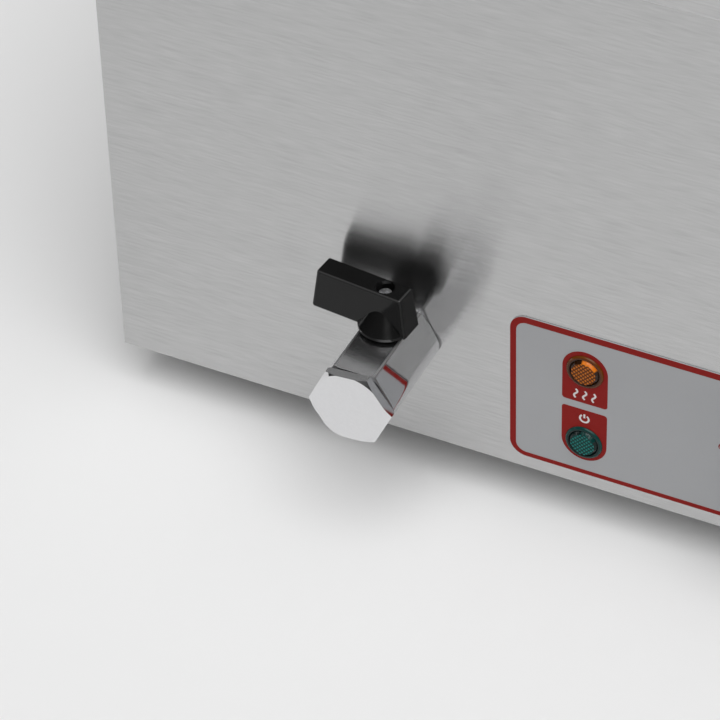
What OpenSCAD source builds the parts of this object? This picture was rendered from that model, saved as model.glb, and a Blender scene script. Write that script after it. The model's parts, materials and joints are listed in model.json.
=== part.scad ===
// Countertop bain-marie: a wet-well food warmer with a drain tap on its front,
// three lift-out pans with hinged lids, a thermostat and two lamps.
// Millimetres, +Z up. The front faces -Y. The origin lies on the floor, under
// the middle of the whole outline.

/* [Casing] */
// Width of the casing, side to side
casing_w = 355; // [345:1:400]
// Depth of the casing, front to back
casing_d = 565; // [556:1:640]
// Height of the casing, from its bottom edge to the deck
casing_h = 230; // [200:1:300]
// Thickness of the casing, deck and tank sheet
sheet_t = 1; // [0.7:0.1:1.5]
// Width of the returns folded in along the panels' edges
fold_w = 14; // [10:1:18]
// Gap left between neighbouring sheets and round screws
seam = 0.3; // [0.2:0.1:0.5]
// Depth of the deck's turned-down skirt
skirt_h = 12; // [6:1:25]
// Height of the casing's bottom edge above the floor
foot_h = 20; // [12:1:40]
// Radius of a rubber foot at its top
foot_r = 15; // [12:0.5:20]
// How far a foot narrows towards the floor
foot_draft = 2; // [0:0.5:4]
// Room between a foot and the folded returns
foot_room = 6; // [3:1:20]
// Length of a ventilation slot in the base plate
vent_len = 60; // [30:1:80]
// Width of a ventilation slot
vent_w = 5; // [3:0.5:8]
// Distance between neighbouring ventilation slots
vent_pitch = 16; // [12:1:30]
// Slots in each group
vent_count = 6; // [2:1:8]

/* [Screws] */
// Radius of the casing screws' shanks
screw_r = 2; // [1.5:0.1:2.5]
// Radius of the casing screws' heads
head_r = 4; // [3.2:0.1:5]
// Height of the casing screws' heads
head_h = 2.2; // [1.5:0.1:3]
// Distance of the end screws from the casing's edges
screw_margin = 40; // [30:1:60]
// How far a screw reaches past the sheets that it holds
screw_bite = 3; // [2:0.5:6]
// Width across flats of the nuts on the foot screws
foot_nut_af = 7.2; // [6.6:0.2:10]
// Thickness of the nuts on the foot screws
foot_nut_h = 4; // [3:0.5:6]
// Depth of the recess that hides a foot screw's head
foot_recess = 8; // [5:0.5:10]
// Radius of that recess
foot_recess_r = 6.3; // [5.3:0.1:8]

/* [Pans and well] */
// Outside width of a pan's rim, across the casing
pan_w = 325; // [310:1:325]
// Outside length of a pan's rim, along the casing
pan_l = 176; // [165:1:176]
// Gap between the rims of neighbouring pans
pan_gap = 1; // [0.5:0.5:3]
// Depth of a pan below the deck
pan_depth = 100; // [60:1:100]
// Thickness of a pan's sheet
pan_t = 1; // [0.6:0.1:1.5]
// Corner radius of a pan's body at the rim
pan_r = 28; // [24:1:34]
// Radius between a pan's walls and its floor
pan_floor_r = 20; // [12:1:24]
// How far a pan's wall leans in from rim to floor
pan_taper = 8; // [4:1:12]
// Corner radius of a pan's rim
rim_r = 14; // [8:1:20]
// Width of the deck's edge that a pan's rim rests on
pan_rest = 10; // [8:1:12]
// Room between a pan's body and the well
pan_play = 2; // [1.5:0.5:3]
// Corner radius of the well
well_r = 25; // [20:1:35]
// Height of the tank's underside above the casing's bottom edge
tank_floor = 66; // [64:1:72]
// Width of the tank's rim under the deck
tank_rim = 14; // [12:1:16]
// Room between a support bar and the pans beside it
bar_play = 2.5; // [2:0.5:4]
// Depth of a support bar's side flanges
bar_h = 14; // [8:1:20]
// Length of a support bar's end that lies on the tank's rim
bar_tongue = 8; // [5:1:10]

/* [Lids] */
// Height of a lid's top above the pan's rim
lid_h = 8; // [6:0.5:12]
// Thickness of a lid's sheet
lid_t = 1; // [0.6:0.1:1.5]
// Distance of a lid's edge from the rim's edge
lid_inset = 1; // [0.5:0.5:3]
// Gap under the lid's flap, and between its two halves
lid_gap = 0.4; // [0.3:0.1:0.8]
// Distance of the hinge from the lid's rear edge
hinge_back = 62; // [45:1:85]
// Length of the lid's hinge
hinge_w = 120; // [90:1:180]
// Length of an outer knuckle
knuckle_len = 25; // [15:1:35]
// Outside radius of a knuckle
knuckle_r = 3.5; // [3:0.1:5]
// Radius of the hinge's pin
pin_r = 1.5; // [1:0.1:2]
// Distance between the legs of a lid's handle
grip_span = 86; // [60:1:110]
// Height of a lid's handle above the lid
grip_h = 30; // [24:1:40]
// Radius of the handle's rod
grip_r = 4; // [3:0.5:5]
// Radius of the handle's bends, along the rod's middle
grip_bend = 12; // [8:1:16]
// Radius of the discs under the handle's legs
grip_foot_r = 8; // [6:0.5:10]
// Distance of the handle from the lid's front edge
grip_front = 40; // [25:1:60]

/* [Control label] */
// Distance of the label from the casing's left edge
label_x = 155.8; // [150:0.2:170]
// Height of the label's bottom edge above the casing's bottom edge
label_v = 5.6; // [3:0.2:12]
// Width of the label
label_w = 170; // [150:1:180]
// Height of the label
label_h = 64.8; // [60:0.2:80]
// Thickness of the label
label_t = 0.4; // [0.2:0.1:0.8]
// Corner radius of the label
label_r = 6.3; // [3:0.1:12]
// Distance of the lamps from the casing's left edge
lamp_x = 184.1; // [176:0.1:196]
// Height of the upper lamp, which shows that the water is being heated
heat_lamp_v = 53.6; // [48:0.1:56]
// Height of the lower lamp, which shows that the power is on
power_lamp_v = 20.6; // [16:0.1:28]
// Radius of a lamp's coloured cap
lamp_r = 7; // [6:0.1:9]
// Height of a lamp's cap above the label
lamp_h = 2; // [1.6:0.1:4]
// Height of the ring round a lamp's lens
ring_h = 0.9; // [0.6:0.1:1.4]
// Radius of the face of a lamp's clear lens
lens_r = 4.2; // [3.6:0.1:4.6]
// How far the lens's side slopes out to its foot
lens_skirt = 1.2; // [0.5:0.1:1.6]
// Radius of a lamp's barrel
barrel_r = 4.8; // [4.4:0.1:5.6]
// Length of a lamp's barrel behind the label
barrel_len = 24; // [16:1:32]
// Width across flats of a lamp's nut
lamp_nut_af = 14; // [12.6:0.2:18]
// Thickness of a lamp's nut
lamp_nut_h = 3; // [2:0.5:5]

/* [Thermostat] */
// Distance of the knob from the casing's left edge
knob_x = 262; // [250:1:280]
// Height of the knob above the casing's bottom edge
knob_v = 38; // [34:0.1:42]
// Radius of the knob's skirt
knob_r = 21; // [19.5:0.5:24]
// Height of the knob's skirt
knob_skirt_h = 5; // [4:0.5:8]
// Height of the knob's grip above its skirt
knob_grip_h = 13; // [8:0.5:18]
// Width of the knob's grip
knob_grip_w = 10; // [8.4:0.2:14]
// Gap between the knob and the label
knob_gap = 0.6; // [0.4:0.1:1.5]
// Radius of the thermostat's shaft
shaft_r = 3; // [2:0.1:3.4]
// Width of the thermostat's body
thermo_w = 34; // [33:1:40]
// Height of the thermostat's body
thermo_h = 35; // [26:1:42]
// Depth of the thermostat's body
thermo_d = 26; // [22:1:34]
// Distance between the thermostat's two screws
thermo_span = 28; // [22:1:28]
// Depth of the shaft in the thermostat's body
shaft_in = 15; // [8:0.5:18]
// Depth of the screws in the thermostat's body
thermo_bite = 7; // [4:0.5:10]
// Radius of the thermostat's screws
thermo_screw_r = 1.7; // [1.2:0.1:2]
// Radius of the bulb that feels the water's heat
bulb_r = 4; // [2.5:0.5:5]
// Length of the bulb
bulb_len = 80; // [50:1:110]
// Distance of the bulb from the outer run of the heating tube
bulb_aside = 25; // [21:1:40]
// Width of the flange that seats the bulb on the tank's wall
bulb_flange = 2; // [1.5:0.5:4]
// Radius of the fine tube from the bulb to the thermostat
capillary_r = 1.2; // [0.8:0.1:1.5]

/* [Heater and wiring] */
// Radius of the heating tube
heater_r = 4; // [3:0.5:5]
// Distance between neighbouring runs of the heating tube
heater_pitch = 70; // [60:1:72]
// Height of the heating tube above the tank's floor
heater_up = 25; // [22:1:28]
// Distance of the heating tube's bends from the tank's end walls
heater_end = 60; // [50:1:90]
// Radius of the bush that carries the tube through the wall
bush_r = 8; // [7:0.5:10]
// Length of the bush outside the tank
bush_len = 10; // [8:0.5:12]
// Width across flats of the bush's nut
bush_nut_af = 22; // [20.4:0.2:26]
// Thickness of the bush's nut
bush_nut_h = 5; // [3:0.5:7]
// Radius of the heater's terminal studs
stud_r = 2; // [1.5:0.1:2.5]
// Length of the heater's terminal studs
stud_len = 7; // [5:0.5:8]
// Width of the bush's collar against the wall
bush_collar = 3; // [2:0.5:5]
// Width of the brackets' feet, and how far the brackets stand out past the heating tube
bracket_foot = 12; // [8:1:20]
// Thickness of the brackets under the heating tube
bracket_t = 1.5; // [1:0.1:3]
// Length of the terminal block
block_w = 76; // [60:1:90]
// Height of the terminal block
block_h = 18; // [14:1:24]
// Depth of the terminal block
block_d = 24; // [18:1:30]
// Distance between the terminals in the block
block_pitch = 14; // [11:0.5:15]
// Radius of a terminal's well in the block
block_hole_r = 3; // [2:0.5:4]
// Distance of the terminal block behind the front panel
block_back = 120; // [100:1:180]
// Distance between the lanes in which the wires run under the tank
wire_lane = 14; // [8:1:16]
// Radius of an insulated wire
wire_r = 1.3; // [0.8:0.1:1.6]

/* [Cable gland] */
// Distance of the gland to the right of the casing's middle
gland_x = 90; // [40:1:120]
// Height of the gland above the casing's bottom edge
gland_v = 40; // [30:1:48]
// Width across flats of the gland and its nut
gland_af = 24; // [22.4:0.2:28]
// Radius of the gland's thread
gland_thread_r = 9.8; // [8:0.1:10.4]
// Radius of the passage for the cable
gland_bore_r = 4.5; // [3:0.1:6]
// Thickness of the gland's hexagon
gland_hex_h = 6; // [4:0.5:8]
// Length of the gland's dome
gland_dome_h = 12; // [8:0.5:16]
// Thickness of the gland's nut
gland_nut_h = 5; // [3:0.5:6]

/* [Drain tap] */
// Distance of the tap's axis from the casing's left edge
tap_x = 114.2; // [100:0.1:125]
// Height of the tap's axis above the casing's bottom edge
tap_v = 45.5; // [42:0.1:47]
// Width across flats of the tap's hexagonal body
tap_af = 27; // [26:0.1:28]
// Length of the tap's body in front of the panel
tap_len = 38.8; // [37:0.1:48]
// Radius of the body's left and right edges
tap_side_r = 6; // [0.5:0.1:8]
// Radius of the body's other edges
tap_edge_r = 0.4; // [0.2:0.1:2]
// How far the corners of the body are drawn in at its front end
tap_chamfer = 1.2; // [0.8:0.1:2.5]
// Radius of the tap's threaded spigot and of its outlet's thread
thread_r = 10.4; // [9.6:0.1:10.6]
// Length of the spigot behind the panel's face
spigot_len = 16; // [14:0.5:24]
// Width across flats of the nuts on the spigot and the drain
drain_nut_af = 30; // [28:0.5:34]
// Thickness of those nuts
drain_nut_h = 5; // [3:0.5:6]
// Width across flats of the blank plug in the outlet
plug_af = 27.7; // [26:0.1:29]
// Thickness of the plug's head
plug_head = 3.5; // [2.5:0.1:8]
// How far the corners of the plug's head are drawn in at its face
plug_chamfer = 1.7; // [0.4:0.1:2]
// How far the corners of the plug's head are drawn in at its back
plug_back = 0.6; // [0.3:0.1:2]
// Angle of the plug's head past the tap's hexagon
plug_turn = 4.6; // [-30:0.1:30]
// Length of the plug's thread
plug_thread = 8; // [4:0.5:9]
// Thickness of the washer behind the plug's head
washer_t = 0.7; // [0.4:0.1:2]
// Width of that washer
washer_w = 1.8; // [1:0.1:2.2]
// Distance of the stem's axis in front of the panel
stem_out = 12.6; // [12:0.1:14]
// Radius of the stem
stem_r = 3; // [2.4:0.1:3.2]
// Radius of the ball
ball_r = 8; // [7.5:0.1:8.4]
// Radius of the waterway
way_r = 4.5; // [3:0.1:5]
// Gap between the ball and its seats
ball_gap = 0.3; // [0.2:0.05:0.4]
// Distance of the drain behind the front panel
drain_back = 70; // [60:1:90]
// Outside radius of the drain's elbow
elbow_r = 12.5; // [12:0.1:13.5]
// Width of the elbow's shoulder under the gasket
shoulder_w = 5; // [3:0.5:6]
// Thickness of the elbow's shoulder
shoulder_t = 3; // [2:0.5:4]
// Thickness of the gasket under the tank
gasket_t = 1.5; // [1:0.1:2.5]

/* [Tap lever] */
// Angle between the closed lever and the panel
lever_rest = 5.7; // [0:0.1:10]
// Height of the lever
lever_h = 16.6; // [14:0.1:20]
// Gap between the lever and the tap's top facet
lever_gap = 1.3; // [1.1:0.1:2.5]
// Length of the lever's arm from the stem, at its foot
lever_arm = 27.3; // [22:0.1:40]
// Length of the lever's tail from the stem, at its foot
lever_tail = 10.5; // [8.5:0.1:10.8]
// How far both ends of the lever lean in at the top
lever_lean = 1.9; // [0:0.1:3]
// Width of the lever at its foot
lever_w = 10; // [9:0.1:11]
// How far each side of the lever leans in at the top
lever_draft = 0.7; // [0:0.1:1]
// Radius of the lever's edges
lever_round = 1; // [0.4:0.1:1.2]
// Radius of the lever's hub at its rim
hub_r = 10; // [9:0.1:11.5]
// Height of the hub where it runs into the arm
hub_h = 9.2; // [7:0.1:11]
// Radius of the recess for the lever's screw
recess_r = 3.4; // [2.8:0.1:3.4]
// Depth of the recess for the lever's screw
recess_d = 4; // [3:0.1:5]

/* [Hidden] */
$fn = 64;

// Width of the usual chamfer of a hexagon, at the middle of a flat
nut_chamfer = 0.3;
// Clearances: a pin or shaft that turns, and a thread or fixed fit
run_gap = 0.05;
fit_gap = 0.06;
// Depth of a through cut on each side of its start
cut = 40;
// Straight stretch left between two corner arcs that would otherwise just touch
sliver = 0.01;

// Colours
steel = [0.68, 0.68, 0.68];
bright_steel = [0.78, 0.78, 0.79];
chrome = [0.86, 0.87, 0.88];
black_plastic = [0.06, 0.06, 0.06];
rubber = [0.09, 0.09, 0.09];
zinc = [0.62, 0.63, 0.65];
brass = [0.75, 0.60, 0.30];
white_plastic = [0.90, 0.90, 0.87];
label_grey = [0.60, 0.60, 0.61];
amber = [0.85, 0.42, 0.08];
green = [0.06, 0.42, 0.38];
heater_grey = [0.36, 0.36, 0.35];
wire_red = [0.60, 0.10, 0.08];

// Places of the casing
tap_reach = tap_len + washer_t + plug_head;
gland_reach = gland_hex_h + gland_dome_h;
x_left = -casing_w / 2;
y_front = (tap_reach - gland_reach - casing_d) / 2;
y_back = y_front + casing_d;
y_mid = (y_front + y_back) / 2;
z_base = foot_h;
z_plate = z_base + 2 * sheet_t;
z_deck = z_base + casing_h;
panel_h = casing_h - sheet_t;
lip = seam + sheet_t;
deck_r = lip + 0.5;
foot_in = fold_w + foot_r + foot_room;
foot_edge = 1;

// Places of the well and the pans
pan_count = 3;
pan_pitch = pan_l + pan_gap;
pan_row = pan_count * pan_pitch - pan_gap;
rim_w = pan_rest + pan_play;
pan_body_w = pan_w - 2 * rim_w;
pan_body_l = pan_l - 2 * rim_w;
well_w = pan_w - 2 * pan_rest;
well_d = pan_row - 2 * pan_rest;
bar_w = 2 * rim_w + pan_gap - 2 * bar_play;
z_tank = z_base + tank_floor;
z_floor = z_tank + sheet_t;
y_wall_in = y_mid - well_d / 2;
y_wall_out = y_wall_in - sheet_t;

// Places on a lid, from the middle of its pan and the top of its rim
z_rim = z_deck + pan_t;
lid_w = pan_w - 2 * lid_inset;
lid_l = pan_l - 2 * lid_inset;
lid_r = rim_r - lid_inset;
hinge_dy = lid_l / 2 - hinge_back;
hinge_dz = lid_h + knuckle_r + lid_gap;
flap_knuckle = hinge_w - 2 * (knuckle_len + lid_gap);
grip_dy = grip_front - lid_l / 2;

// Places on the front panel
x_tap = x_left + tap_x;
z_tap = z_base + tap_v;
z_facet = z_tap + tap_af / 2;
x_lamp = x_left + lamp_x;
x_knob = x_left + knob_x;
z_knob = z_base + knob_v;
y_inside = y_front + sheet_t;
thermo_head_r = 1.8 * thermo_screw_r;
knob_wall = 2.5;
knob_edge = 1;
knob_bore = knob_skirt_h + knob_grip_h - knob_wall;
knob_hollow = 3;
lens_spigot_r = barrel_r - 1.3;
lens_spigot_h = 3;
lamp_tab = [0.8, 2.8, 6];

// Places inside the tap, out from the panel
seat_out = ball_r + 1;
seat_t = 2.7;
cavity_r = ball_r + 1;
outlet_depth = plug_thread + 2;
retainer_t = tap_len - outlet_depth - stem_out - seat_out - 1;
seal_r = stem_r + 2.2;
seal_h = 3;
y_drain = y_front + drain_back;

// Places of the heater
z_heater = z_floor + heater_up;
y_turn_front = y_wall_in + heater_end;
y_turn_back = y_mid + well_d / 2 - heater_end;
heater_side = 1.5 * heater_pitch;
bush_y = y_wall_out - bush_len;
x_bulb = heater_side - bulb_aside;
y_block = y_front + block_back;

// Shared shapes

// A flat rectangle with round corners, centred
module rounded(w, d, r) {
    square([w - 2 * r, d], center = true);
    square([w, d - 2 * r], center = true);
    for (sx = [-1, 1], sy = [-1, 1])
        translate([sx * (w / 2 - r), sy * (d / 2 - r)])
            circle(r);
}

// Puts a shape on the front panel: its X stays, its Y points up and its Z points out
module on_front(x, v) {
    translate([x_left + x, y_front, z_base + v])
        rotate([90, 0, 0])
            children();
}

// Puts a shape on the rear panel, with its Z pointing out
module on_rear(x, v) {
    translate([x, y_back, z_base + v])
        rotate([-90, 0, 0])
            children();
}

// A round hole through the front panel
module front_hole(x, v, r) {
    on_front(x, v)
        translate([0, 0, -cut / 4])
            cylinder(r = r, h = cut / 2);
}

// Middle of the arc at a corner of a hexagon, and the corner's points: the arc's two ends, or one point
function corner_middle(af, turn, r) = (af / 2 - r) / cos(30) * [cos(turn), sin(turn)];
function corner_points(af, turn, r) =
    [for (side = r > 0 ? [-30, 30] : [0])
        corner_middle(af, turn, r) + r * [cos(turn + side), sin(turn + side)]];

// A hexagon with a flat on top, one radius at its left and right corners and another at the rest
module hexagon(af, side_r, edge_r) {
    radii = [side_r, edge_r, edge_r, side_r, edge_r, edge_r];
    polygon([for (i = [0:5]) each corner_points(af, 60 * i, radii[i])]);
    for (i = [0:5])
        if (radii[i] > 0)
            translate(corner_middle(af, 60 * i, radii[i]))
                circle(radii[i]);
}

// A hexagonal bar along Z with its corners taken off at 30 degrees.
// The chamfers start at the given radii, at the back and at the front.
module hex_bar(af, len, back_r, front_r, side_r = 0, edge_r = 0) {
    corner = af / sqrt(3) + 0.5;
    intersection() {
        linear_extrude(len)
            hexagon(af, side_r, edge_r);
        rotate_extrude()
            polygon([
                [0, 0],
                [back_r, 0],
                [corner, (corner - back_r) * tan(30)],
                [corner, len - (corner - front_r) * tan(30)],
                [front_r, len],
                [0, len]]);
    }
}

// A hexagonal nut with a round hole
module nut(af, h, r) {
    difference() {
        hex_bar(af, h, af / 2 - nut_chamfer, af / 2 - nut_chamfer);
        translate([0, 0, -1])
            cylinder(r = r, h = h + 2);
    }
}

// A pan-head screw: its head stands on Z = 0 and its shank goes down
module pan_screw(shank_r, shank_len, top_r, top_h) {
    slot_w = top_r / 4;
    difference() {
        union() {
            translate([0, 0, -shank_len])
                cylinder(r = shank_r, h = shank_len + top_h / 2);
            cylinder(r1 = top_r, r2 = 0.8 * top_r, h = top_h);
        }
        for (turn = [0, 90])
            rotate(turn)
                translate([-slot_w / 2, -0.6 * top_r, top_h / 2])
                    cube([slot_w, 1.2 * top_r, top_h]);
    }
}

// A round tube through a list of points, with a ball at each bend
module tube_run(points, r) {
    last = len(points) - 1;
    for (i = [0:last - 1]) {
        way = points[i + 1] - points[i];
        if (norm(way) > 0)
            translate(points[i])
                rotate([0, acos(way[2] / norm(way)), atan2(way[1], way[0])])
                    cylinder(r = r, h = norm(way));
    }
    for (i = [1:1:last - 1])
        translate(points[i])
            sphere(1.05 * r);
}

// Casing

// A front sheet with its bottom edge folded in
module end_sheet() {
    translate([x_left, y_front, z_base])
        cube([casing_w, sheet_t, panel_h]);
    translate([x_left + lip, y_front, z_base])
        cube([casing_w - 2 * lip, fold_w, sheet_t]);
}

// Turns what is made at the front end round to the rear end
module at_rear_end() {
    translate([0, 2 * y_mid, 0])
        mirror([0, 1, 0])
            children();
}

module front_panel() color(steel) difference() {
    end_sheet();
    front_hole(tap_x, tap_v, thread_r + seam);
    for (v = [heat_lamp_v, power_lamp_v])
        front_hole(lamp_x, v, barrel_r + seam);
    front_hole(knob_x, knob_v, shaft_r + 2 * seam);
    for (side = [-1, 1])
        front_hole(knob_x + side * thermo_span / 2, knob_v, thermo_screw_r + seam);
}

module rear_panel() color(steel) difference() {
    at_rear_end()
        end_sheet();
    rear_screw_places()
        translate([0, 0, -cut / 2])
            cylinder(r = screw_r + seam, h = cut);
    on_rear(gland_x, gland_v)
        translate([0, 0, -cut / 2])
            cylinder(r = gland_thread_r + seam, h = cut);
}

// A left side sheet with its front, rear and bottom edges folded in
module side_sheet() {
    translate([x_left, y_inside, z_base])
        cube([sheet_t, casing_d - 2 * sheet_t, panel_h]);
    for (y = [y_inside, y_back - 2 * sheet_t])
        translate([x_left, y, z_base + lip])
            cube([fold_w, sheet_t, panel_h - lip]);
    translate([x_left, y_front + fold_w + seam, z_base])
        cube([fold_w, casing_d - 2 * (fold_w + seam), sheet_t]);
}

module side_panel() difference() {
    side_sheet();
    rear_screw_places()
        translate([0, 0, -cut / 2])
            cylinder(r = screw_r + seam, h = cut);
    base_screw_places()
        translate([0, 0, -cut / 2])
            cylinder(r = screw_r + seam, h = cut);
}

module left_side_panel() color(steel) side_panel();

module right_side_panel() color(steel)
    mirror([1, 0, 0])
        side_panel();

// The screws that hold the rear panel on the side panels
module rear_screw_places() {
    for (side = [-1, 1], v = [screw_margin, casing_h / 2, casing_h - screw_margin])
        on_rear(side * (casing_w / 2 - fold_w / 2), v)
            children();
}

// The screws that hold the base plate on the side panels
module base_screw_places() {
    for (side = [-1, 1], y = [y_front + screw_margin, y_mid, y_back - screw_margin])
        translate([side * (casing_w / 2 - fold_w / 2), y, z_base])
            rotate([180, 0, 0])
                children();
}

module rear_screws() color(zinc)
    rear_screw_places()
        pan_screw(screw_r, 2 * sheet_t + screw_bite, head_r, head_h);

module base_screws() color(zinc)
    base_screw_places()
        pan_screw(screw_r, 2 * sheet_t + screw_bite, head_r, head_h);

module foot_places() {
    for (side = [-1, 1], y = [y_front + foot_in, y_back - foot_in])
        translate([side * (casing_w / 2 - foot_in), y, 0])
            children();
}

module base_plate() color(steel) difference() {
    translate([x_left + lip, y_inside + lip, z_base + sheet_t])
        cube([casing_w - 2 * lip, casing_d - 2 * (sheet_t + lip), sheet_t]);
    base_screw_places()
        translate([0, 0, -cut / 2])
            cylinder(r = screw_r + seam, h = cut);
    foot_places()
        translate([0, 0, z_base])
            cylinder(r = screw_r + seam, h = cut / 2);
    for (side = [-1, 1], i = [0:vent_count - 1])
        translate([side * (casing_w / 4), y_mid + (i - (vent_count - 1) / 2) * vent_pitch, z_base])
            linear_extrude(cut / 2)
                rounded(vent_len, vent_w, vent_w / 2 - sliver);
}

module rubber_feet() color(rubber)
    foot_places()
        rotate_extrude()
            polygon([
                [foot_recess_r, 0],
                [foot_r - foot_draft - foot_edge, 0],
                [foot_r - foot_draft, foot_edge],
                [foot_r, z_base + sheet_t],
                [screw_r + seam, z_base + sheet_t],
                [screw_r + seam, foot_recess],
                [foot_recess_r, foot_recess]]);

module foot_screws() color(zinc)
    foot_places()
        translate([0, 0, foot_recess])
            rotate([180, 0, 0])
                pan_screw(screw_r, z_plate - foot_recess + foot_nut_h + 1, head_r, head_h);

module foot_nuts() color(zinc)
    foot_places()
        translate([0, 0, z_plate])
            nut(foot_nut_af, foot_nut_h, screw_r + fit_gap);

module top_deck() color(steel) difference() {
    translate([0, y_mid, z_deck - skirt_h])
        linear_extrude(skirt_h)
            rounded(casing_w + 2 * lip, casing_d + 2 * lip, deck_r);
    translate([0, y_mid, z_deck - skirt_h - 1])
        linear_extrude(skirt_h + 1 - sheet_t)
            rounded(casing_w + 2 * seam, casing_d + 2 * seam, deck_r - sheet_t);
    translate([0, y_mid, z_deck - skirt_h])
        linear_extrude(2 * skirt_h)
            rounded(well_w, well_d, well_r);
    bar_places()
        translate([0, 0, z_deck - skirt_h])
            linear_extrude(2 * skirt_h)
                square([well_w + 2 * (bar_tongue + seam), bar_w + 2 * seam], center = true);
}

// Well, pans and lids

module water_tank() color(bright_steel) difference() {
    translate([0, y_mid, 0]) {
        translate([0, 0, z_tank])
            linear_extrude(z_deck - sheet_t - z_tank)
                rounded(well_w + 2 * sheet_t, well_d + 2 * sheet_t, well_r + sheet_t);
        translate([0, 0, z_deck - 2 * sheet_t])
            linear_extrude(sheet_t)
                rounded(well_w + 2 * tank_rim, well_d + 2 * tank_rim, well_r + tank_rim);
    }
    translate([0, y_mid, z_floor])
        linear_extrude(casing_h)
            rounded(well_w, well_d, well_r);
    translate([x_tap, y_drain, z_tank - cut / 2])
        cylinder(r = thread_r + seam, h = cut);
    for (side = [-1, 1])
        translate([side * heater_side, y_wall_in, z_heater])
            rotate([90, 0, 0])
                translate([0, 0, -cut / 4])
                    cylinder(r = bush_r + seam, h = cut / 2);
    translate([x_bulb, y_wall_in, z_heater])
        rotate([90, 0, 0])
            translate([0, 0, -cut / 4])
                cylinder(r = bulb_r + seam, h = cut / 2);
}

module bar_places() {
    for (k = [1:pan_count - 1])
        translate([0, y_mid + (k - pan_count / 2) * pan_pitch, 0])
            children();
}

// A support bar is a channel whose top carries the rims of two pans
module pan_bars() color(bright_steel)
    bar_places() {
        translate([0, 0, z_deck - sheet_t])
            linear_extrude(sheet_t)
                square([well_w + 2 * bar_tongue, bar_w], center = true);
        for (side = [-1, 1])
            translate([pan_play - well_w / 2, side * (bar_w - sheet_t) / 2 - sheet_t / 2, z_deck - bar_h])
                cube([well_w - 2 * pan_play, sheet_t, bar_h]);
    }

// Moves a shape to the middle of a pan, counted from the front
module at_pan(k, z) {
    translate([0, y_mid + (k - (pan_count + 1) / 2) * pan_pitch, z])
        children();
}

// A pan's body drawn in by an inset, from its floor up to a height above the deck
module pan_form(inset, top) {
    hull()
        for (sx = [-1, 1], sy = [-1, 1]) {
            translate([sx * (pan_body_w / 2 - pan_r), sy * (pan_body_l / 2 - pan_r), top - 1])
                cylinder(r = pan_r - inset, h = 1, $fn = 32);
            translate([
                sx * (pan_body_w / 2 - pan_taper - pan_floor_r),
                sy * (pan_body_l / 2 - pan_taper - pan_floor_r),
                pan_floor_r - pan_depth])
                sphere(pan_floor_r - inset, $fn = 32);
        }
}

module pan(k) color(bright_steel)
    at_pan(k, z_deck)
        difference() {
            union() {
                linear_extrude(pan_t)
                    rounded(pan_w, pan_l, rim_r);
                pan_form(0, pan_t);
            }
            pan_form(pan_t, pan_t + 1);
        }

// The part of a lid's tray between two places along the pan, from a height above the rim
module lid_tray(y_start, y_end, lift) {
    intersection() {
        difference() {
            linear_extrude(lid_h)
                rounded(lid_w, lid_l, lid_r);
            translate([0, 0, -lid_t])
                linear_extrude(lid_h)
                    rounded(lid_w - 2 * lid_t, lid_l - 2 * lid_t, lid_r - lid_t);
        }
        translate([-lid_w, y_start, lift])
            cube([2 * lid_w, y_end - y_start, 2 * lid_h]);
    }
}

// A hinge knuckle with the web that carries it, towards the rear or towards the front
module knuckle(x, len, side) {
    web_h = hinge_dz - lid_h + lid_t / 2;
    translate([x, hinge_dy, hinge_dz]) {
        rotate([0, 90, 0])
            cylinder(r = knuckle_r, h = len, center = true);
        translate([-len / 2, side > 0 ? lid_gap : -lid_gap - knuckle_r, -web_h])
            cube([len, knuckle_r, web_h]);
    }
}

module pin_bore() {
    translate([0, hinge_dy, hinge_dz])
        rotate([0, 90, 0])
            cylinder(r = pin_r + run_gap, h = 2 * hinge_w, center = true);
}

module lid_base(k) color(bright_steel)
    at_pan(k, z_rim)
        difference() {
            union() {
                lid_tray(hinge_dy + lid_gap / 2, lid_l, 0);
                for (side = [-1, 1])
                    knuckle(side * (hinge_w - knuckle_len) / 2, knuckle_len, 1);
            }
            pin_bore();
        }

module lid_flap(k) color(bright_steel)
    at_pan(k, z_rim)
        difference() {
            union() {
                lid_tray(-lid_l, hinge_dy - lid_gap / 2, lid_gap);
                knuckle(0, flap_knuckle, -1);
            }
            pin_bore();
        }

module lid_pin(k) color(zinc)
    at_pan(k, z_rim)
        translate([0, hinge_dy, hinge_dz])
            rotate([0, 90, 0])
                cylinder(r = pin_r, h = hinge_w + 2, center = true);

// A rod bent into a bridge, standing on two discs
module lid_handle(k) color(chrome)
    at_pan(k, z_rim + lid_h)
        translate([0, grip_dy, 0]) {
            for (side = [-1, 1]) {
                translate([side * grip_span / 2, 0, 0]) {
                    cylinder(r = grip_foot_r, h = grip_r / 2);
                    cylinder(r = grip_r, h = grip_h - grip_r - grip_bend);
                }
                translate([side * (grip_span / 2 - grip_bend), 0, grip_h - grip_r - grip_bend])
                    rotate([90, 0, side > 0 ? 0 : 180])
                        rotate_extrude(angle = 90)
                            translate([grip_bend, 0])
                                circle(grip_r);
            }
            translate([0, 0, grip_h - grip_r])
                rotate([0, 90, 0])
                    cylinder(r = grip_r, h = grip_span - 2 * grip_bend, center = true);
        }

// Label, lamps and thermostat

module control_label() color(label_grey) difference() {
    on_front(label_x + label_w / 2, label_v + label_h / 2)
        linear_extrude(label_t)
            rounded(label_w, label_h, label_r);
    for (v = [heat_lamp_v, power_lamp_v])
        front_hole(lamp_x, v, barrel_r + seam);
    front_hole(knob_x, knob_v, shaft_r + 2 * seam);
    for (side = [-1, 1])
        front_hole(knob_x + side * thermo_span / 2, knob_v, thermo_screw_r + seam);
}

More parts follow.
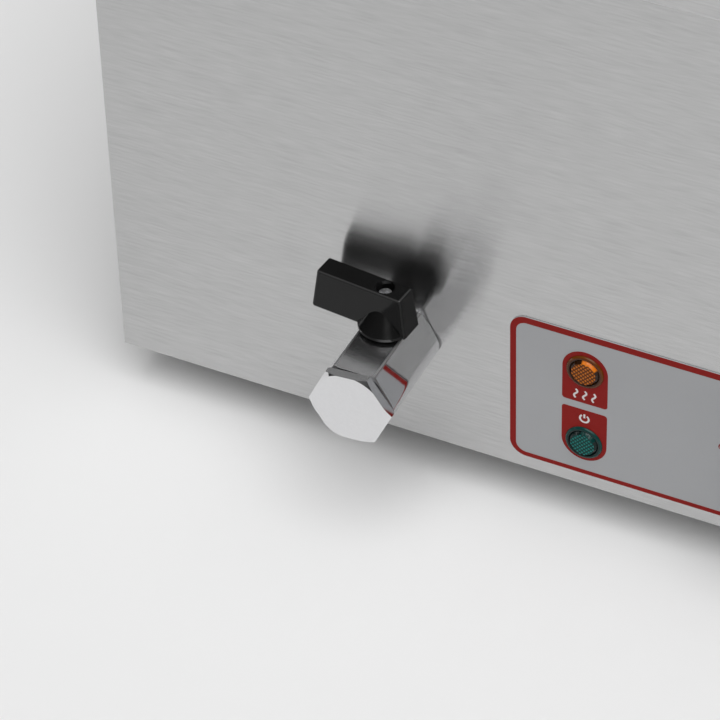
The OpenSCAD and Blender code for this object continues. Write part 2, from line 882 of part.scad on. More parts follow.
// A coloured cap: a low ring and a raised lens with sloping sides, and a spigot behind
module lamp_lens(v) {
    skirt_r = lens_r + lens_skirt;
    ring_bevel = (lamp_r - skirt_r) / 4;
    on_front(lamp_x, v)
        translate([0, 0, label_t]) {
            rotate_extrude()
                polygon([
                    [0, 0],
                    [lamp_r, 0],
                    [lamp_r, 0.6 * ring_h],
                    [lamp_r - ring_bevel, ring_h],
                    [skirt_r + ring_bevel, ring_h],
                    [skirt_r, 0.5 * ring_h],
                    [lens_r, lamp_h],
                    [0, lamp_h]]);
            translate([0, 0, -lens_spigot_h])
                cylinder(r = lens_spigot_r, h = lens_spigot_h + 0.5);
        }
}

module heat_lamp_lens() color(amber) lamp_lens(heat_lamp_v);

module power_lamp_lens() color(green) lamp_lens(power_lamp_v);

// A lamp's barrel with two flat terminals at its back
module lamp_body(v) color(black_plastic)
    on_front(lamp_x, v) {
        difference() {
            translate([0, 0, -barrel_len])
                cylinder(r = barrel_r, h = barrel_len + label_t);
            translate([0, 0, label_t - lens_spigot_h - fit_gap])
                cylinder(r = lens_spigot_r + fit_gap, h = cut);
        }
        for (side = [-1, 1])
            translate([side * barrel_r / 2, 0, -barrel_len - lamp_tab[2] / 2])
                cube(lamp_tab + [0, 0, 1], center = true);
    }

module heat_lamp_body() lamp_body(heat_lamp_v);

module power_lamp_body() lamp_body(power_lamp_v);

module lamp_nuts() color(zinc)
    for (v = [heat_lamp_v, power_lamp_v])
        on_front(lamp_x, v)
            translate([0, 0, -sheet_t - lamp_nut_h])
                nut(lamp_nut_af, lamp_nut_h, barrel_r + fit_gap);

module thermostat_body() color(white_plastic)
    on_front(knob_x, knob_v)
        difference() {
            translate([-thermo_w / 2, -thermo_h / 2, -sheet_t - thermo_d])
                cube([thermo_w, thermo_h, thermo_d]);
            translate([0, 0, -sheet_t - shaft_in])
                cylinder(r = shaft_r + run_gap, h = cut);
            for (side = [-1, 1])
                translate([side * thermo_span / 2, 0, -sheet_t - thermo_bite - 1])
                    cylinder(r = thermo_screw_r + fit_gap, h = cut);
        }

module thermostat_screws() color(zinc)
    for (side = [-1, 1])
        on_front(knob_x + side * thermo_span / 2, knob_v)
            translate([0, 0, label_t])
                pan_screw(thermo_screw_r, label_t + sheet_t + thermo_bite, thermo_head_r, thermo_screw_r);

module thermostat_shaft() color(zinc)
    on_front(knob_x, knob_v)
        translate([0, 0, seam - sheet_t - shaft_in])
            cylinder(r = shaft_r, h = shaft_in + sheet_t + label_t + knob_gap + knob_bore - 2 * seam);

// A knob with a hollow skirt, and a grip with round ends across it
module thermostat_knob() color(black_plastic)
    on_front(knob_x, knob_v)
        translate([0, 0, label_t + knob_gap])
            difference() {
                union() {
                    rotate_extrude()
                        polygon([
                            [0, 0],
                            [knob_r, 0],
                            [knob_r, 0.5 * knob_skirt_h],
                            [knob_r - knob_edge, knob_skirt_h - knob_edge / 2],
                            [knob_r - 2 * knob_edge, knob_skirt_h],
                            [0, knob_skirt_h]]);
                    linear_extrude(knob_skirt_h + knob_grip_h)
                        rounded(knob_grip_w, 2 * (knob_r - 3 * knob_edge), knob_grip_w / 2 - sliver);
                }
                translate([0, 0, -1])
                    cylinder(r = knob_r - knob_wall, h = knob_hollow + 1);
                cylinder(r = shaft_r + fit_gap, h = knob_bore);
            }

// The bulb lies in the water, and its fine tube goes down to the thermostat
module thermostat_bulb() color(zinc) {
    bend_y = (y_wall_out + y_inside) / 2;
    neck = sheet_t + bulb_flange;
    thermo_top = z_knob + thermo_h / 2 + seam;
    jog_z = (z_heater + thermo_top) / 2;
    translate([x_bulb, y_wall_in - neck, z_heater])
        rotate([-90, 0, 0]) {
            cylinder(r = bulb_r, h = neck + bulb_len);
            translate([0, 0, neck])
                cylinder(r = bulb_r + bulb_flange, h = bulb_flange);
        }
    tube_run([
        [x_bulb, y_wall_out, z_heater],
        [x_bulb, bend_y, z_heater],
        [x_bulb, bend_y, jog_z],
        [x_knob, bend_y, jog_z],
        [x_knob, bend_y, thermo_top]], capillary_r);
}

// Heater and wiring

// Four straight runs joined by three bends, with a bush and a stud at each end
module heating_element() color(heater_grey) {
    for (side = [-1, 1]) {
        translate([side * heater_side, bush_y, z_heater])
            rotate([-90, 0, 0])
                cylinder(r = heater_r, h = y_turn_back - bush_y);
        translate([side * heater_pitch / 2, y_turn_front, z_heater])
            rotate([-90, 0, 0])
                cylinder(r = heater_r, h = y_turn_back - y_turn_front);
        translate([side * heater_pitch, y_turn_back, z_heater])
            heater_bend();
        translate([side * heater_side, bush_y, z_heater])
            rotate([-90, 0, 0]) {
                cylinder(r = bush_r, h = bush_len + sheet_t + 2 * bush_collar);
                translate([0, 0, bush_len + sheet_t])
                    cylinder(r = bush_r + bush_collar, h = bush_collar);
                translate([0, 0, -stud_len])
                    cylinder(r = stud_r, h = stud_len + 1);
            }
    }
    translate([0, y_turn_front, z_heater])
        rotate(180)
            heater_bend();
}

module heater_bend() {
    rotate_extrude(angle = 180)
        translate([heater_pitch / 2, 0])
            circle(heater_r);
}

module element_nuts() color(zinc)
    for (side = [-1, 1])
        translate([side * heater_side, y_wall_out, z_heater])
            rotate([90, 0, 0])
                nut(bush_nut_af, bush_nut_h, bush_r + fit_gap);

// Two strips stand on the tank's floor and cradle the runs of the heating tube
module element_brackets() color(bright_steel)
    for (y = [y_turn_front + heater_end, y_turn_back - heater_end])
        difference() {
            translate([-heater_side - bracket_foot, y, z_floor]) {
                cube([2 * (heater_side + bracket_foot), bracket_t, heater_up]);
                cube([2 * (heater_side + bracket_foot), bracket_foot, bracket_t]);
            }
            for (run = [-1.5:1:1.5])
                translate([run * heater_pitch, y, z_heater])
                    rotate([90, 0, 0])
                        cylinder(r = heater_r + seam, h = cut, center = true);
        }

module terminal_block() color(white_plastic)
    translate([x_lamp, y_block, z_plate])
        difference() {
            translate([-block_w / 2, 0, 0])
                cube([block_w, block_d, block_h]);
            for (i = [-2:2])
                translate([i * block_pitch, block_d / 2, block_h / 2])
                    cylinder(r = block_hole_r, h = block_h);
        }

// Wires from the block to the lamps, the thermostat and the heater's two studs
module wiring_loom() color(wire_red) {
    start_y = y_block - seam;
    low_z = z_plate + block_h / 2;
    lamp_y = y_front + barrel_len + lamp_tab[2] + 0.5 + seam;
    lamp_side = 3 * wire_r;
    stud_y = bush_y - stud_len / 2;
    stud_z = z_heater - stud_r - seam;
    thermo_y = y_inside + thermo_d + seam;
    riser_y = lamp_y + wire_lane;
    tube_run([
        [x_lamp - lamp_side, start_y, low_z],
        [x_lamp - lamp_side, riser_y, low_z],
        [x_lamp - lamp_side, riser_y, z_base + heat_lamp_v],
        [x_lamp - lamp_side, lamp_y, z_base + heat_lamp_v]], wire_r);
    tube_run([
        [x_lamp + lamp_side, start_y, low_z],
        [x_lamp + lamp_side, riser_y, low_z],
        [x_lamp + lamp_side, riser_y, z_base + power_lamp_v],
        [x_lamp + lamp_side, lamp_y, z_base + power_lamp_v]], wire_r);
    tube_run([
        [x_lamp + block_pitch, start_y, low_z],
        [x_lamp + block_pitch, riser_y + wire_lane, low_z],
        [x_knob, riser_y + wire_lane, low_z],
        [x_knob, riser_y + wire_lane, z_knob],
        [x_knob, thermo_y, z_knob]], wire_r);
    for (side = [-1, 1])
        tube_run([
            [x_lamp + side * 2 * block_pitch, start_y, low_z],
            [x_lamp + side * 2 * block_pitch, riser_y + 2 * wire_lane, low_z],
            [side * heater_side, riser_y + 2 * wire_lane, low_z],
            [side * heater_side, stud_y, low_z],
            [side * heater_side, stud_y, stud_z]], wire_r);
}

// Cable gland

module cable_gland() color(black_plastic)
    on_rear(gland_x, gland_v)
        difference() {
            union() {
                hex_bar(gland_af, gland_hex_h, gland_af / 2 - nut_chamfer, gland_af / 2 - 2 * nut_chamfer);
                rotate_extrude()
                    polygon([
                        [0, -gland_nut_h - sheet_t - 3],
                        [gland_thread_r, -gland_nut_h - sheet_t - 3],
                        [gland_thread_r, gland_hex_h + 0.5 * gland_dome_h],
                        [gland_thread_r - 1, gland_hex_h + 0.8 * gland_dome_h],
                        [gland_bore_r + 1.5, gland_reach],
                        [0, gland_reach]]);
            }
            translate([0, 0, -cut])
                cylinder(r = gland_bore_r, h = 2 * cut);
        }

module gland_nut() color(black_plastic)
    on_rear(gland_x, gland_v)
        translate([0, 0, -sheet_t - gland_nut_h])
            nut(gland_af, gland_nut_h, gland_thread_r + fit_gap);

// Drain and tap

// The elbow hangs under the tank and takes the tap's spigot in its socket
module drain_elbow() color(brass) {
    z_shoulder = z_tank - gasket_t;
    socket_y = y_inside + drain_nut_h + seam;
    pipe_r = way_r + 1;
    difference() {
        union() {
            translate([x_tap, socket_y, z_tap])
                rotate([-90, 0, 0])
                    cylinder(r = elbow_r, h = y_drain - socket_y);
            translate([x_tap, y_drain, z_tap])
                sphere(1.03 * elbow_r);
            translate([x_tap, y_drain, z_tap])
                cylinder(r = thread_r, h = z_floor + drain_nut_h + 1 - z_tap);
            translate([x_tap, y_drain, z_shoulder - shoulder_t])
                cylinder(r = thread_r + shoulder_w, h = shoulder_t);
        }
        translate([x_tap, y_front, z_tap])
            rotate([-90, 0, 0])
                cylinder(r = thread_r + fit_gap, h = spigot_len + seam);
        translate([x_tap, y_front, z_tap])
            rotate([-90, 0, 0])
                cylinder(r = pipe_r, h = drain_back);
        translate([x_tap, y_drain, z_tap])
            sphere(1.04 * pipe_r);
        translate([x_tap, y_drain, z_tap])
            cylinder(r = pipe_r, h = casing_h);
    }
}

module drain_gasket() color(rubber)
    translate([x_tap, y_drain, z_tank - gasket_t])
        difference() {
            cylinder(r = thread_r + shoulder_w, h = gasket_t);
            translate([0, 0, -1])
                cylinder(r = thread_r + fit_gap, h = gasket_t + 2);
        }

// One nut holds the drain on the tank's floor, the other holds the tap on the panel
module drain_nuts() color(brass) {
    translate([x_tap, y_drain, z_floor])
        nut(drain_nut_af, drain_nut_h, thread_r + fit_gap);
    on_front(tap_x, tap_v)
        translate([0, 0, -sheet_t - drain_nut_h])
            nut(drain_nut_af, drain_nut_h, thread_r + fit_gap);
}

module valve_body() color(chrome)
    on_front(tap_x, tap_v)
        difference() {
            union() {
                hex_bar(tap_af, tap_len, tap_af / 2 - 2 * nut_chamfer, tap_af / sqrt(3) - tap_chamfer,
                    tap_side_r, tap_edge_r);
                translate([0, 0, -spigot_len])
                    cylinder(r = thread_r, h = spigot_len + 4);
            }
            translate([0, 0, -cut])
                cylinder(r = way_r, h = cut + stem_out);
            translate([0, 0, stem_out - seat_out])
                cylinder(r = cavity_r, h = tap_len);
            translate([0, 0, tap_len - outlet_depth])
                cylinder(r = thread_r + fit_gap, h = tap_len);
            translate([0, 0, stem_out])
                rotate([-90, 0, 0]) {
                    cylinder(r = stem_r + run_gap, h = tap_af);
                    translate([0, 0, tap_af / 2 - seal_h])
                        cylinder(r = seal_r + fit_gap, h = tap_af);
                }
        }

// A ring on each side of the ball, dished to fit it
module valve_seats() color(white_plastic)
    on_front(tap_x, tap_v)
        for (side = [-1, 1])
            difference() {
                translate([0, 0, stem_out + (side > 0 ? seat_out - seat_t : -seat_out)])
                    cylinder(r = cavity_r - fit_gap, h = seat_t);
                translate([0, 0, stem_out])
                    sphere(ball_r + ball_gap);
                cylinder(r = way_r, h = tap_len);
            }

module valve_retainer() color(brass)
    on_front(tap_x, tap_v)
        translate([0, 0, stem_out + seat_out])
            difference() {
                cylinder(r = cavity_r - fit_gap, h = retainer_t);
                translate([0, 0, -1])
                    cylinder(r = way_r, h = retainer_t + 2);
            }

// Turns what is made on the stem's axis to the closed lever's angle
module on_stem(z) {
    translate([x_tap, y_front - stem_out, z])
        rotate(-lever_rest)
            children();
}

module valve_ball() color(chrome)
    on_stem(z_tap)
        difference() {
            sphere(ball_r);
            rotate([0, 90, 0])
                cylinder(r = way_r, h = cut, center = true);
            translate([-cut / 2, -stem_r / 2 - fit_gap, 0.7 * ball_r])
                cube([cut, stem_r + 2 * fit_gap, cut]);
        }

// The stem has a flat tongue in the ball's slot
module valve_stem() color(brass)
    on_stem(z_tap) {
        translate([0, 0, ball_r + 0.2])
            cylinder(r = stem_r, h = tap_af / 2 + lever_gap + lever_h - recess_d - 3 - ball_r - 0.2);
        translate([-stem_r / 2, -stem_r / 2, 0.7 * ball_r + fit_gap])
            cube([stem_r, stem_r, 0.3 * ball_r + 1]);
    }

module stem_seal() color(rubber)
    translate([x_tap, y_front - stem_out, z_facet - seal_h])
        difference() {
            cylinder(r = seal_r, h = seal_h + 0.4);
            translate([0, 0, -1])
                cylinder(r = stem_r + run_gap, h = seal_h + 3);
        }

// A block that narrows upwards, with round edges, from the arm's end to the tail's end
module lever_block() {
    half_w = lever_w / 2 - lever_round;
    hull()
        for (side = [-1, 1])
            for (level = [0, 1], x = [lever_arm_end(level), lever_tail_end(level)])
                translate([
                    x,
                    side * (half_w - level * lever_draft),
                    lever_round + level * (lever_h - 2 * lever_round)])
                    sphere(lever_round, $fn = 32);
}

function lever_arm_end(level) = -lever_arm + lever_round + level * lever_lean;
function lever_tail_end(level) = lever_tail - lever_round - level * lever_lean;

module tap_lever() color(black_plastic)
    on_stem(z_facet + lever_gap)
        difference() {
            union() {
                lever_block();
                rotate_extrude()
                    polygon([
                        [0, 0],
                        [hub_r, 0],
                        [hub_r, 0.12 * hub_h],
                        [0.87 * hub_r, 0.32 * hub_h],
                        [0.43 * hub_r, hub_h],
                        [0, hub_h]]);
            }
            translate([0, 0, lever_h - recess_d])
                cylinder(r = recess_r, h = cut);
            translate([0, 0, -1])
                cylinder(r = stem_r + fit_gap, h = lever_h - recess_d - 2 + 1);
            cylinder(r = screw_r / 2 + seam, h = cut);
        }

module lever_screw() color(chrome)
    on_stem(z_facet + lever_gap + lever_h - recess_d)
        pan_screw(screw_r / 2, 2.8, recess_r - 0.6, 1.6);

// A blank plug with a chamfered head closes the outlet
module end_plug() color(chrome)
    on_front(tap_x, tap_v)
        translate([0, 0, tap_len + washer_t]) {
            rotate(plug_turn)
                hex_bar(plug_af, plug_head, plug_af / sqrt(3) - plug_back, plug_af / sqrt(3) - plug_chamfer);
            translate([0, 0, -washer_t - plug_thread])
                cylinder(r = thread_r, h = washer_t + plug_thread + 1);
        }

module plug_washer() color(rubber)
    on_front(tap_x, tap_v)
        translate([0, 0, tap_len])
            difference() {
                cylinder(r = thread_r + washer_w, h = washer_t);
                translate([0, 0, -1])
                    cylinder(r = thread_r + fit_gap, h = washer_t + 2);
            }

front_panel();
left_side_panel();
right_side_panel();
rear_panel();
base_plate();
top_deck();
water_tank();
rubber_feet();
foot_screws();
foot_nuts();
rear_screws();
base_screws();
control_label();
heat_lamp_lens();
power_lamp_lens();
heat_lamp_body();
power_lamp_body();
lamp_nuts();
thermostat_body();
thermostat_screws();
thermostat_shaft();
thermostat_knob();
thermostat_bulb();
heating_element();
element_nuts();
element_brackets();
terminal_block();
wiring_loom();
cable_gland();
gland_nut();
drain_elbow();
drain_gasket();
drain_nuts();
valve_body();
valve_seats();
valve_retainer();
valve_ball();
valve_stem();
stem_seal();
tap_lever();
lever_screw();
end_plug();
plug_washer();
pan_bars();
for (k = [1:pan_count]) {
    pan(k);
    lid_base(k);
    lid_flap(k);
    lid_handle(k);
    lid_pin(k);
}
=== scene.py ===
"""Looks of a countertop bain-marie: finishes of its parts, the printed label, the lamps and the pans."""

import json
import math

import bpy
import numpy as np
from mathutils import Matrix, Vector


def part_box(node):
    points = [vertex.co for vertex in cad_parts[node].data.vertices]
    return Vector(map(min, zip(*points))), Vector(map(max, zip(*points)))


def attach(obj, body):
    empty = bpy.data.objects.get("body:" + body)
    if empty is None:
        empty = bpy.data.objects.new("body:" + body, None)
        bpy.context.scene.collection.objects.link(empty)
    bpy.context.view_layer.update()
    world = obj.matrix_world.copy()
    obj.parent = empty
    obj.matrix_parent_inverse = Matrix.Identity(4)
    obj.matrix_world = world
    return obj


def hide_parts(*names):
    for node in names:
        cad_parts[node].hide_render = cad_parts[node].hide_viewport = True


bl_info = {
    "name": "Bain-marie looks",
    "version": (1, 0, 0),
    "blender": (4, 5, 0),
    "location": "View3D > Sidebar > Bain-marie",
    "description": "Dresses a countertop bain-marie and sets it on a pale studio floor",
    "category": "Object",
}

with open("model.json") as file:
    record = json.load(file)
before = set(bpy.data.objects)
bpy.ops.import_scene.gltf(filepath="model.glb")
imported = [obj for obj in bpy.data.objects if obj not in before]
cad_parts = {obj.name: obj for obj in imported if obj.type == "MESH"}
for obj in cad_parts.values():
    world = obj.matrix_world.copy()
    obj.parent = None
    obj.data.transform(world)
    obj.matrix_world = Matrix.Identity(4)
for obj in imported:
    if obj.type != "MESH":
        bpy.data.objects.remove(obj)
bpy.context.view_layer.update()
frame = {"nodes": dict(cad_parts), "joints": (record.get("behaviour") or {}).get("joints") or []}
NODES = frame["nodes"]
PAN_NUMBERS = (1, 2, 3)

MM = 0.001
# A distance too small to see
HAIR = 0.01 * MM
RIGHT = (1.0, 0.0, 0.0)
BACK = (0.0, 1.0, 0.0)
UP = (0.0, 0.0, 1.0)

LABEL_LOW, LABEL_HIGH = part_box("control_label")
KNOB_LOW, KNOB_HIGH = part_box("thermostat_knob")


# Sizes and colours


def length_property(label, description, size):
    """A length, with its default in millimetres."""
    return bpy.props.FloatProperty(
        name=label, description=description, default=size * MM, min=0.0, unit="LENGTH", precision=6)


def angle_property(label, description, degrees):
    """An angle, with its default in degrees."""
    return bpy.props.FloatProperty(
        name=label, description=description, default=math.radians(degrees), subtype="ANGLE")


def strength_property(label, description, strength):
    """A share or a strength of light, from 0 up."""
    return bpy.props.FloatProperty(name=label, description=description, default=strength, min=0.0)


def colour_property(label, description, colour):
    """A colour, as linear red, green and blue."""
    return bpy.props.FloatVectorProperty(
        name=label, description=description, default=colour, min=0.0, max=1.0, subtype="COLOR")


class LabelProperties(bpy.types.PropertyGroup):
    """Sizes of the label's print and of the knob's pointer."""

    ink: length_property("Ink", "Thickness of the printed ink", 0.03)
    corner: length_property("Corner", "Corner radius of the label", 6.3)
    border: length_property("Border", "Width of the red border", 2.3)
    border_drop: length_property(
        "Border drop", "How far the border's inner edge sits below the label's middle", 0.4)
    box_side: length_property(
        "Box half width", "Half the width of the red box round a lamp, and radius of its arch", 8.55)
    box_reach: length_property(
        "Box reach", "Distance from a lamp's middle to the straight edge of its box", 14.95)
    box_lift: length_property("Box lift", "How far the boxes sit above the lamps' middles", 0.25)
    box_corner: length_property("Box corner", "Radius of the box's two small corners", 1.2)
    box_overlap: length_property("Box overlap", "How far a box reaches under its lamp's edge", 0.4)
    sign_offset: length_property(
        "Sign offset", "Distance from a lamp's middle to the middle of its sign", 11.1)
    sign_height: length_property("Sign height", "Height of a sign", 4.0)
    sign_line: length_property("Sign line", "Width of a sign's lines", 0.7)
    wave_sway: length_property("Wave sway", "How far a wave of the heat sign swings to each side", 0.64)
    wave_pitch: length_property("Wave pitch", "Distance between the heat sign's waves", 3.4)
    ring_gap: angle_property("Ring gap", "Angle of the gap in the power sign's ring", 70)
    bar_foot: strength_property(
        "Bar foot", "Height of the power sign's bar at its foot, as a share of the ring's radius", 0.15)
    bar_head: strength_property(
        "Bar head", "Height of the power sign's bar at its head, as a share of the ring's radius", 1.25)
    dial_gap: length_property("Dial gap", "Gap between the knob and the dial's ticks", 1.6)
    dial_tick: length_property("Dial tick", "Length of the dial's long ticks", 2.2)
    dial_short_tick: length_property("Dial short tick", "Length of the dial's short ticks", 1.32)
    dial_line: length_property("Dial line", "Width of the dial's long ticks", 0.56)
    dial_fine_line: length_property("Dial fine line", "Width of the dial's short ticks", 0.35)
    dial_text: length_property("Dial numbers", "Height of the dial's numbers", 3.0)
    dial_text_gap: length_property(
        "Dial number gap", "Distance from a long tick's end to the middle of its number", 2.4)
    pointer_line: length_property("Pointer line", "Width of the knob's pointer", 0.98)
    pointer_start: strength_property(
        "Pointer start", "Where the knob's pointer starts, as a share of the knob's radius", 0.35)
    pointer_end: strength_property(
        "Pointer end", "Where the knob's pointer ends, as a share of the knob's radius", 0.72)


class LampProperties(bpy.types.PropertyGroup):
    """Sizes of a lamp's moulded cap, and its painted highlight arc."""

    lens_radius: length_property("Lens radius", "Radius of the prism field", 4.5)
    lens_height: length_property("Lens height", "Height of the prism field above the label", 1.6)
    skirt: length_property("Skirt", "Width of the lens's sloping side", 0.9)
    foot_height: length_property("Foot height", "Height of the sloping side's foot above the label", 0.45)
    bead_height: length_property("Bead height", "Height of the round ring above the label", 0.9)
    prism_pitch: length_property("Prism pitch", "Distance between neighbouring prisms", 1.2)
    prism_height: length_property("Prism height", "Height of a prism", 0.2)
    # The arc is a highlight painted into the cap's colour.
    arc_turn: angle_property("Arc turn", "Place of the lit arc, anticlockwise from the right", 64)
    arc_spill: length_property("Arc spill", "How far the lit arc runs past the skirt onto the ring", 0.4)
    amber_arc: strength_property("Amber arc", "Tone of the upper lamp's arc, against its colour", 3.3)
    green_arc: strength_property("Green arc", "Tone of the lower lamp's arc, against its colour", 0.5)


class PanProperties(bpy.types.PropertyGroup):
    """Sizes of a pressed pan, as in the built solid."""

    rim: length_property("Rim", "Width of the flat rim", 12)
    rim_corner: length_property("Rim corner", "Corner radius of the rim", 14)
    corner: length_property("Corner", "Corner radius of the body", 28)
    depth: length_property("Depth", "Depth below the deck", 100)
    taper: length_property("Taper", "How far the walls lean in", 8)
    floor_corner: length_property("Floor corner", "Corner radius of the floor", 24)
    floor_bend: length_property("Floor bend", "Radius between walls and floor", 20)
    lip: length_property("Lip", "Radius between walls and rim", 4)
    sheet: length_property("Sheet", "Thickness of the sheet", 1)


class FinishProperties(bpy.types.PropertyGroup):
    """Colours of the finishes."""

    steel: colour_property("Brushed steel", "Colour of the casing's steel", (0.52, 0.52, 0.52))
    bright_steel: colour_property("Satin steel", "Colour of the pans, lids and well", (0.53, 0.53, 0.54))
    chrome: colour_property("Chrome", "Colour of the chrome plating", (0.72, 0.72, 0.73))
    zinc: colour_property("Zinc", "Colour of the zinc-plated fasteners", (0.52, 0.53, 0.55))
    pin: colour_property("Pin steel", "Colour of the hinge pins", (0.55, 0.55, 0.56))
    screw: colour_property("Screw plating", "Colour of the lever's screw", (0.42, 0.42, 0.43))
    sheath: colour_property("Heater sheath", "Colour of the heating element", (0.22, 0.21, 0.20))
    brass: colour_property("Brass", "Colour of the drain's brass", (0.60, 0.42, 0.16))
    black: colour_property("Black plastic", "Colour of the moulded plastic", (0.003, 0.003, 0.003))
    # Lighter grey painted on the lever's rounded edges as a highlight
    rubbed: colour_property("Rubbed plastic", "Colour of the lever's rubbed edges", (0.032, 0.032, 0.032))
    rubber: colour_property("Rubber", "Colour of the feet", (0.016, 0.016, 0.016))
    seal: colour_property("Seals", "Colour of the drain's seals", (0.014, 0.014, 0.014))
    seat: colour_property("Valve seats", "Colour of the valve's plastic seats", (0.75, 0.75, 0.72))
    case: colour_property("Thermostat case", "Colour of the thermostat's body", (0.72, 0.72, 0.68))
    wire: colour_property("Wires", "Colour of the wires' sheath", (0.36, 0.03, 0.02))
    foil: colour_property("Label foil", "Colour of the label's silver-grey foil", (0.342, 0.346, 0.356))
    red: colour_property("Red ink", "Colour of the label's dark red ink", (0.215, 0.010, 0.008))
    white: colour_property("White ink", "Colour of the signs", (0.62, 0.60, 0.60))
    amber: colour_property("Amber", "Colour of the upper lamp", (0.19, 0.050, 0.003))
    green: colour_property("Green", "Colour of the lower lamp", (0.003, 0.066, 0.058))
    floor: colour_property("Floor", "Colour of the studio floor", (0.80, 0.80, 0.80))


class StageProperties(bpy.types.PropertyGroup):
    """The camera, the light and the floor."""

    azimuth: angle_property("Azimuth", "Camera's turn to the right of the front", 27.14)
    elevation: angle_property("Elevation", "Camera's angle above the horizon", 41.68)
    roll: angle_property("Roll", "Camera's roll about its view", -1.89)
    distance: length_property("Distance", "Distance of the camera from the point that it looks at", 1424.5)
    aim_right: length_property("Aim right", "Point looked at, from the front panel's left edge", 97.09)
    aim_up: length_property("Aim up", "Point looked at, above the front panel's bottom edge", 26.78)
    lens: bpy.props.FloatProperty(
        name="Lens", description="Focal length, in millimetres", default=200.2, unit="CAMERA")
    sensor: bpy.props.FloatProperty(
        name="Sensor", description="Width of the sensor, in millimetres", default=36.0, unit="CAMERA")
    sky: strength_property(
        "Sky", "Strength of the light straight above, which fades to none at the horizon", 0.48)
    glow: strength_property("Glow", "Strength of the broad soft light, at its middle", 3.9)
    glow_core: angle_property(
        "Glow core", "Angle from the broad light's middle to where it starts to fade", 14)
    glow_edge: angle_property("Glow edge", "Angle from the broad light's middle to where it ends", 36)
    glow_azimuth: angle_property("Glow azimuth", "Turn of the broad light to the right of the front", 31)
    glow_elevation: angle_property("Glow elevation", "Angle of the broad light above the horizon", 61)
    floor_size: length_property("Floor size", "Width of the studio floor", 12000)


def colours():
    """The finishes' colours, as the scene holds them."""
    return bpy.context.scene.bain_finish


# Shader maths


class Value:
    """A number on a socket: an operator on it adds one Math node to the same graph."""

    def __init__(self, graph, socket):
        self.graph = graph
        self.socket = socket

    def math(self, operation, *inputs):
        """A Math node of that operation on the given numbers."""
        made = self.graph.node("ShaderNodeMath", {"operation": operation}, dict(enumerate(inputs)))
        return Value(self.graph, made.outputs[0])

    def __add__(self, other):
        return self.math("ADD", self, other)

    __radd__ = __add__

    def __sub__(self, other):
        return self.math("SUBTRACT", self, other)

    def __rsub__(self, other):
        return self.math("SUBTRACT", other, self)

    def __mul__(self, other):
        return self.math("MULTIPLY", self, other)

    __rmul__ = __mul__

    def __lt__(self, other):
        return self.math("LESS_THAN", self, other)

    def __gt__(self, other):
        return self.math("GREATER_THAN", self, other)


class Graph:
    """A node tree, with one method that adds any node."""

    def __init__(self, tree):
        self.links = tree.links
        self.nodes = tree.nodes

    def node(self, kind, settings, inputs):
        """Adds a node of that type, sets its own settings first, then fills or links its sockets."""
        made = self.nodes.new(kind)
        for name, setting in settings.items():
            setattr(made, name, setting)
        for name, value in inputs.items():
            self.feed(made.inputs[name], value)
        return made

    def feed(self, socket, value):
        """Links a Value or a socket, or sets a plain number or colour."""
        source = value.socket if isinstance(value, Value) else value
        if isinstance(source, bpy.types.NodeSocket):
            self.links.new(source, socket)
        else:
            socket.default_value = source

    def vector(self, operation, *inputs):
        """A Vector Math node: a Value where its result is a number, and a socket where it is a vector."""
        made = self.node("ShaderNodeVectorMath", {"operation": operation}, dict(enumerate(inputs)))
        if operation in ("DOT_PRODUCT", "LENGTH"):
            return Value(self, made.outputs["Value"])
        return made.outputs["Vector"]

    def ramp(self, value, low, high):
        """0 below low and 1 above high, with a soft rise between them."""
        settings = {"interpolation_type": "SMOOTHSTEP"}
        made = self.node("ShaderNodeMapRange", settings, {0: value, 1: low, 2: high})
        return Value(self, made.outputs[0])


class Finish(Graph):
    """A material with a Principled shader, whose constants are set on its own sockets."""

    def __init__(self, name, **constants):
        self.material = bpy.data.materials.new(name)
        self.material.use_nodes = True
        super().__init__(self.material.node_tree)
        self.shader = self.nodes["Principled BSDF"]
        coordinates = self.node("ShaderNodeTexCoord", {}, {})
        self.places = coordinates.outputs["Object"]
        self.normals = coordinates.outputs["Normal"]
        for socket, constant in constants.items():
            self.shader.inputs[socket.replace("_", " ")].default_value = constant

    def set(self, socket, value):
        """Feeds one of the shader's own sockets."""
        self.feed(self.shader.inputs[socket], value)

    def noise(self, scale, detail=2.0, vector=None):
        """Soft noise from 0 to 1, about 0.5 on average."""
        inputs = {"Vector": vector or self.places, "Scale": scale, "Detail": detail}
        return Value(self, self.node("ShaderNodeTexNoise", {}, inputs).outputs[0])

    def streaks(self, cells, detail):
        """Noise by its cells in a metre along each axis: few of them along one axis draw it out there."""
        inputs = {"Vector": self.places, "Scale": cells}
        return self.noise(1.0, detail, self.node("ShaderNodeMapping", {}, inputs).outputs[0])

    def facing(self, way, low, high):
        """A ramp of the cosine between the surface's own normal and a direction."""
        return self.ramp(self.vector("DOT_PRODUCT", self.normals, way), low, high)

    def from_axis(self, low, high):
        """Offset from the line that runs front to back through the middle of a box."""
        offset = self.vector("SUBTRACT", self.places, tuple((low + high) / 2))
        return self.vector("MULTIPLY", offset, (1.0, 0.0, 1.0))

    def mix(self, factor, first, second):
        """The first colour where factor is 0, the second where it is 1."""
        inputs = {0: factor, 6: first, 7: second}
        return self.node("ShaderNodeMix", {"data_type": "RGBA"}, inputs).outputs[2]

    def tones(self, factor, colour, spread):
        """A colour that goes from darker to lighter by a spread as factor goes from 0 to 1."""
        return self.mix(factor, tone(colour, 1 - spread), tone(colour, 1 + spread))

    def bump(self, height, distance, strength=1.0):
        """Feeds a bump of the given depth in metres to the shader's normal."""
        inputs = {"Strength": strength, "Distance": distance, "Height": height}
        self.set("Normal", self.node("ShaderNodeBump", {}, inputs).outputs[0])


def tone(colour, share=1.0):
    """A colour times a share, with full alpha."""
    return (*(min(1.0, channel * share) for channel in colour), 1.0)


# Finishes

# How far a finish's roughness swings with its grain
GLOSS_SWING = 0.1


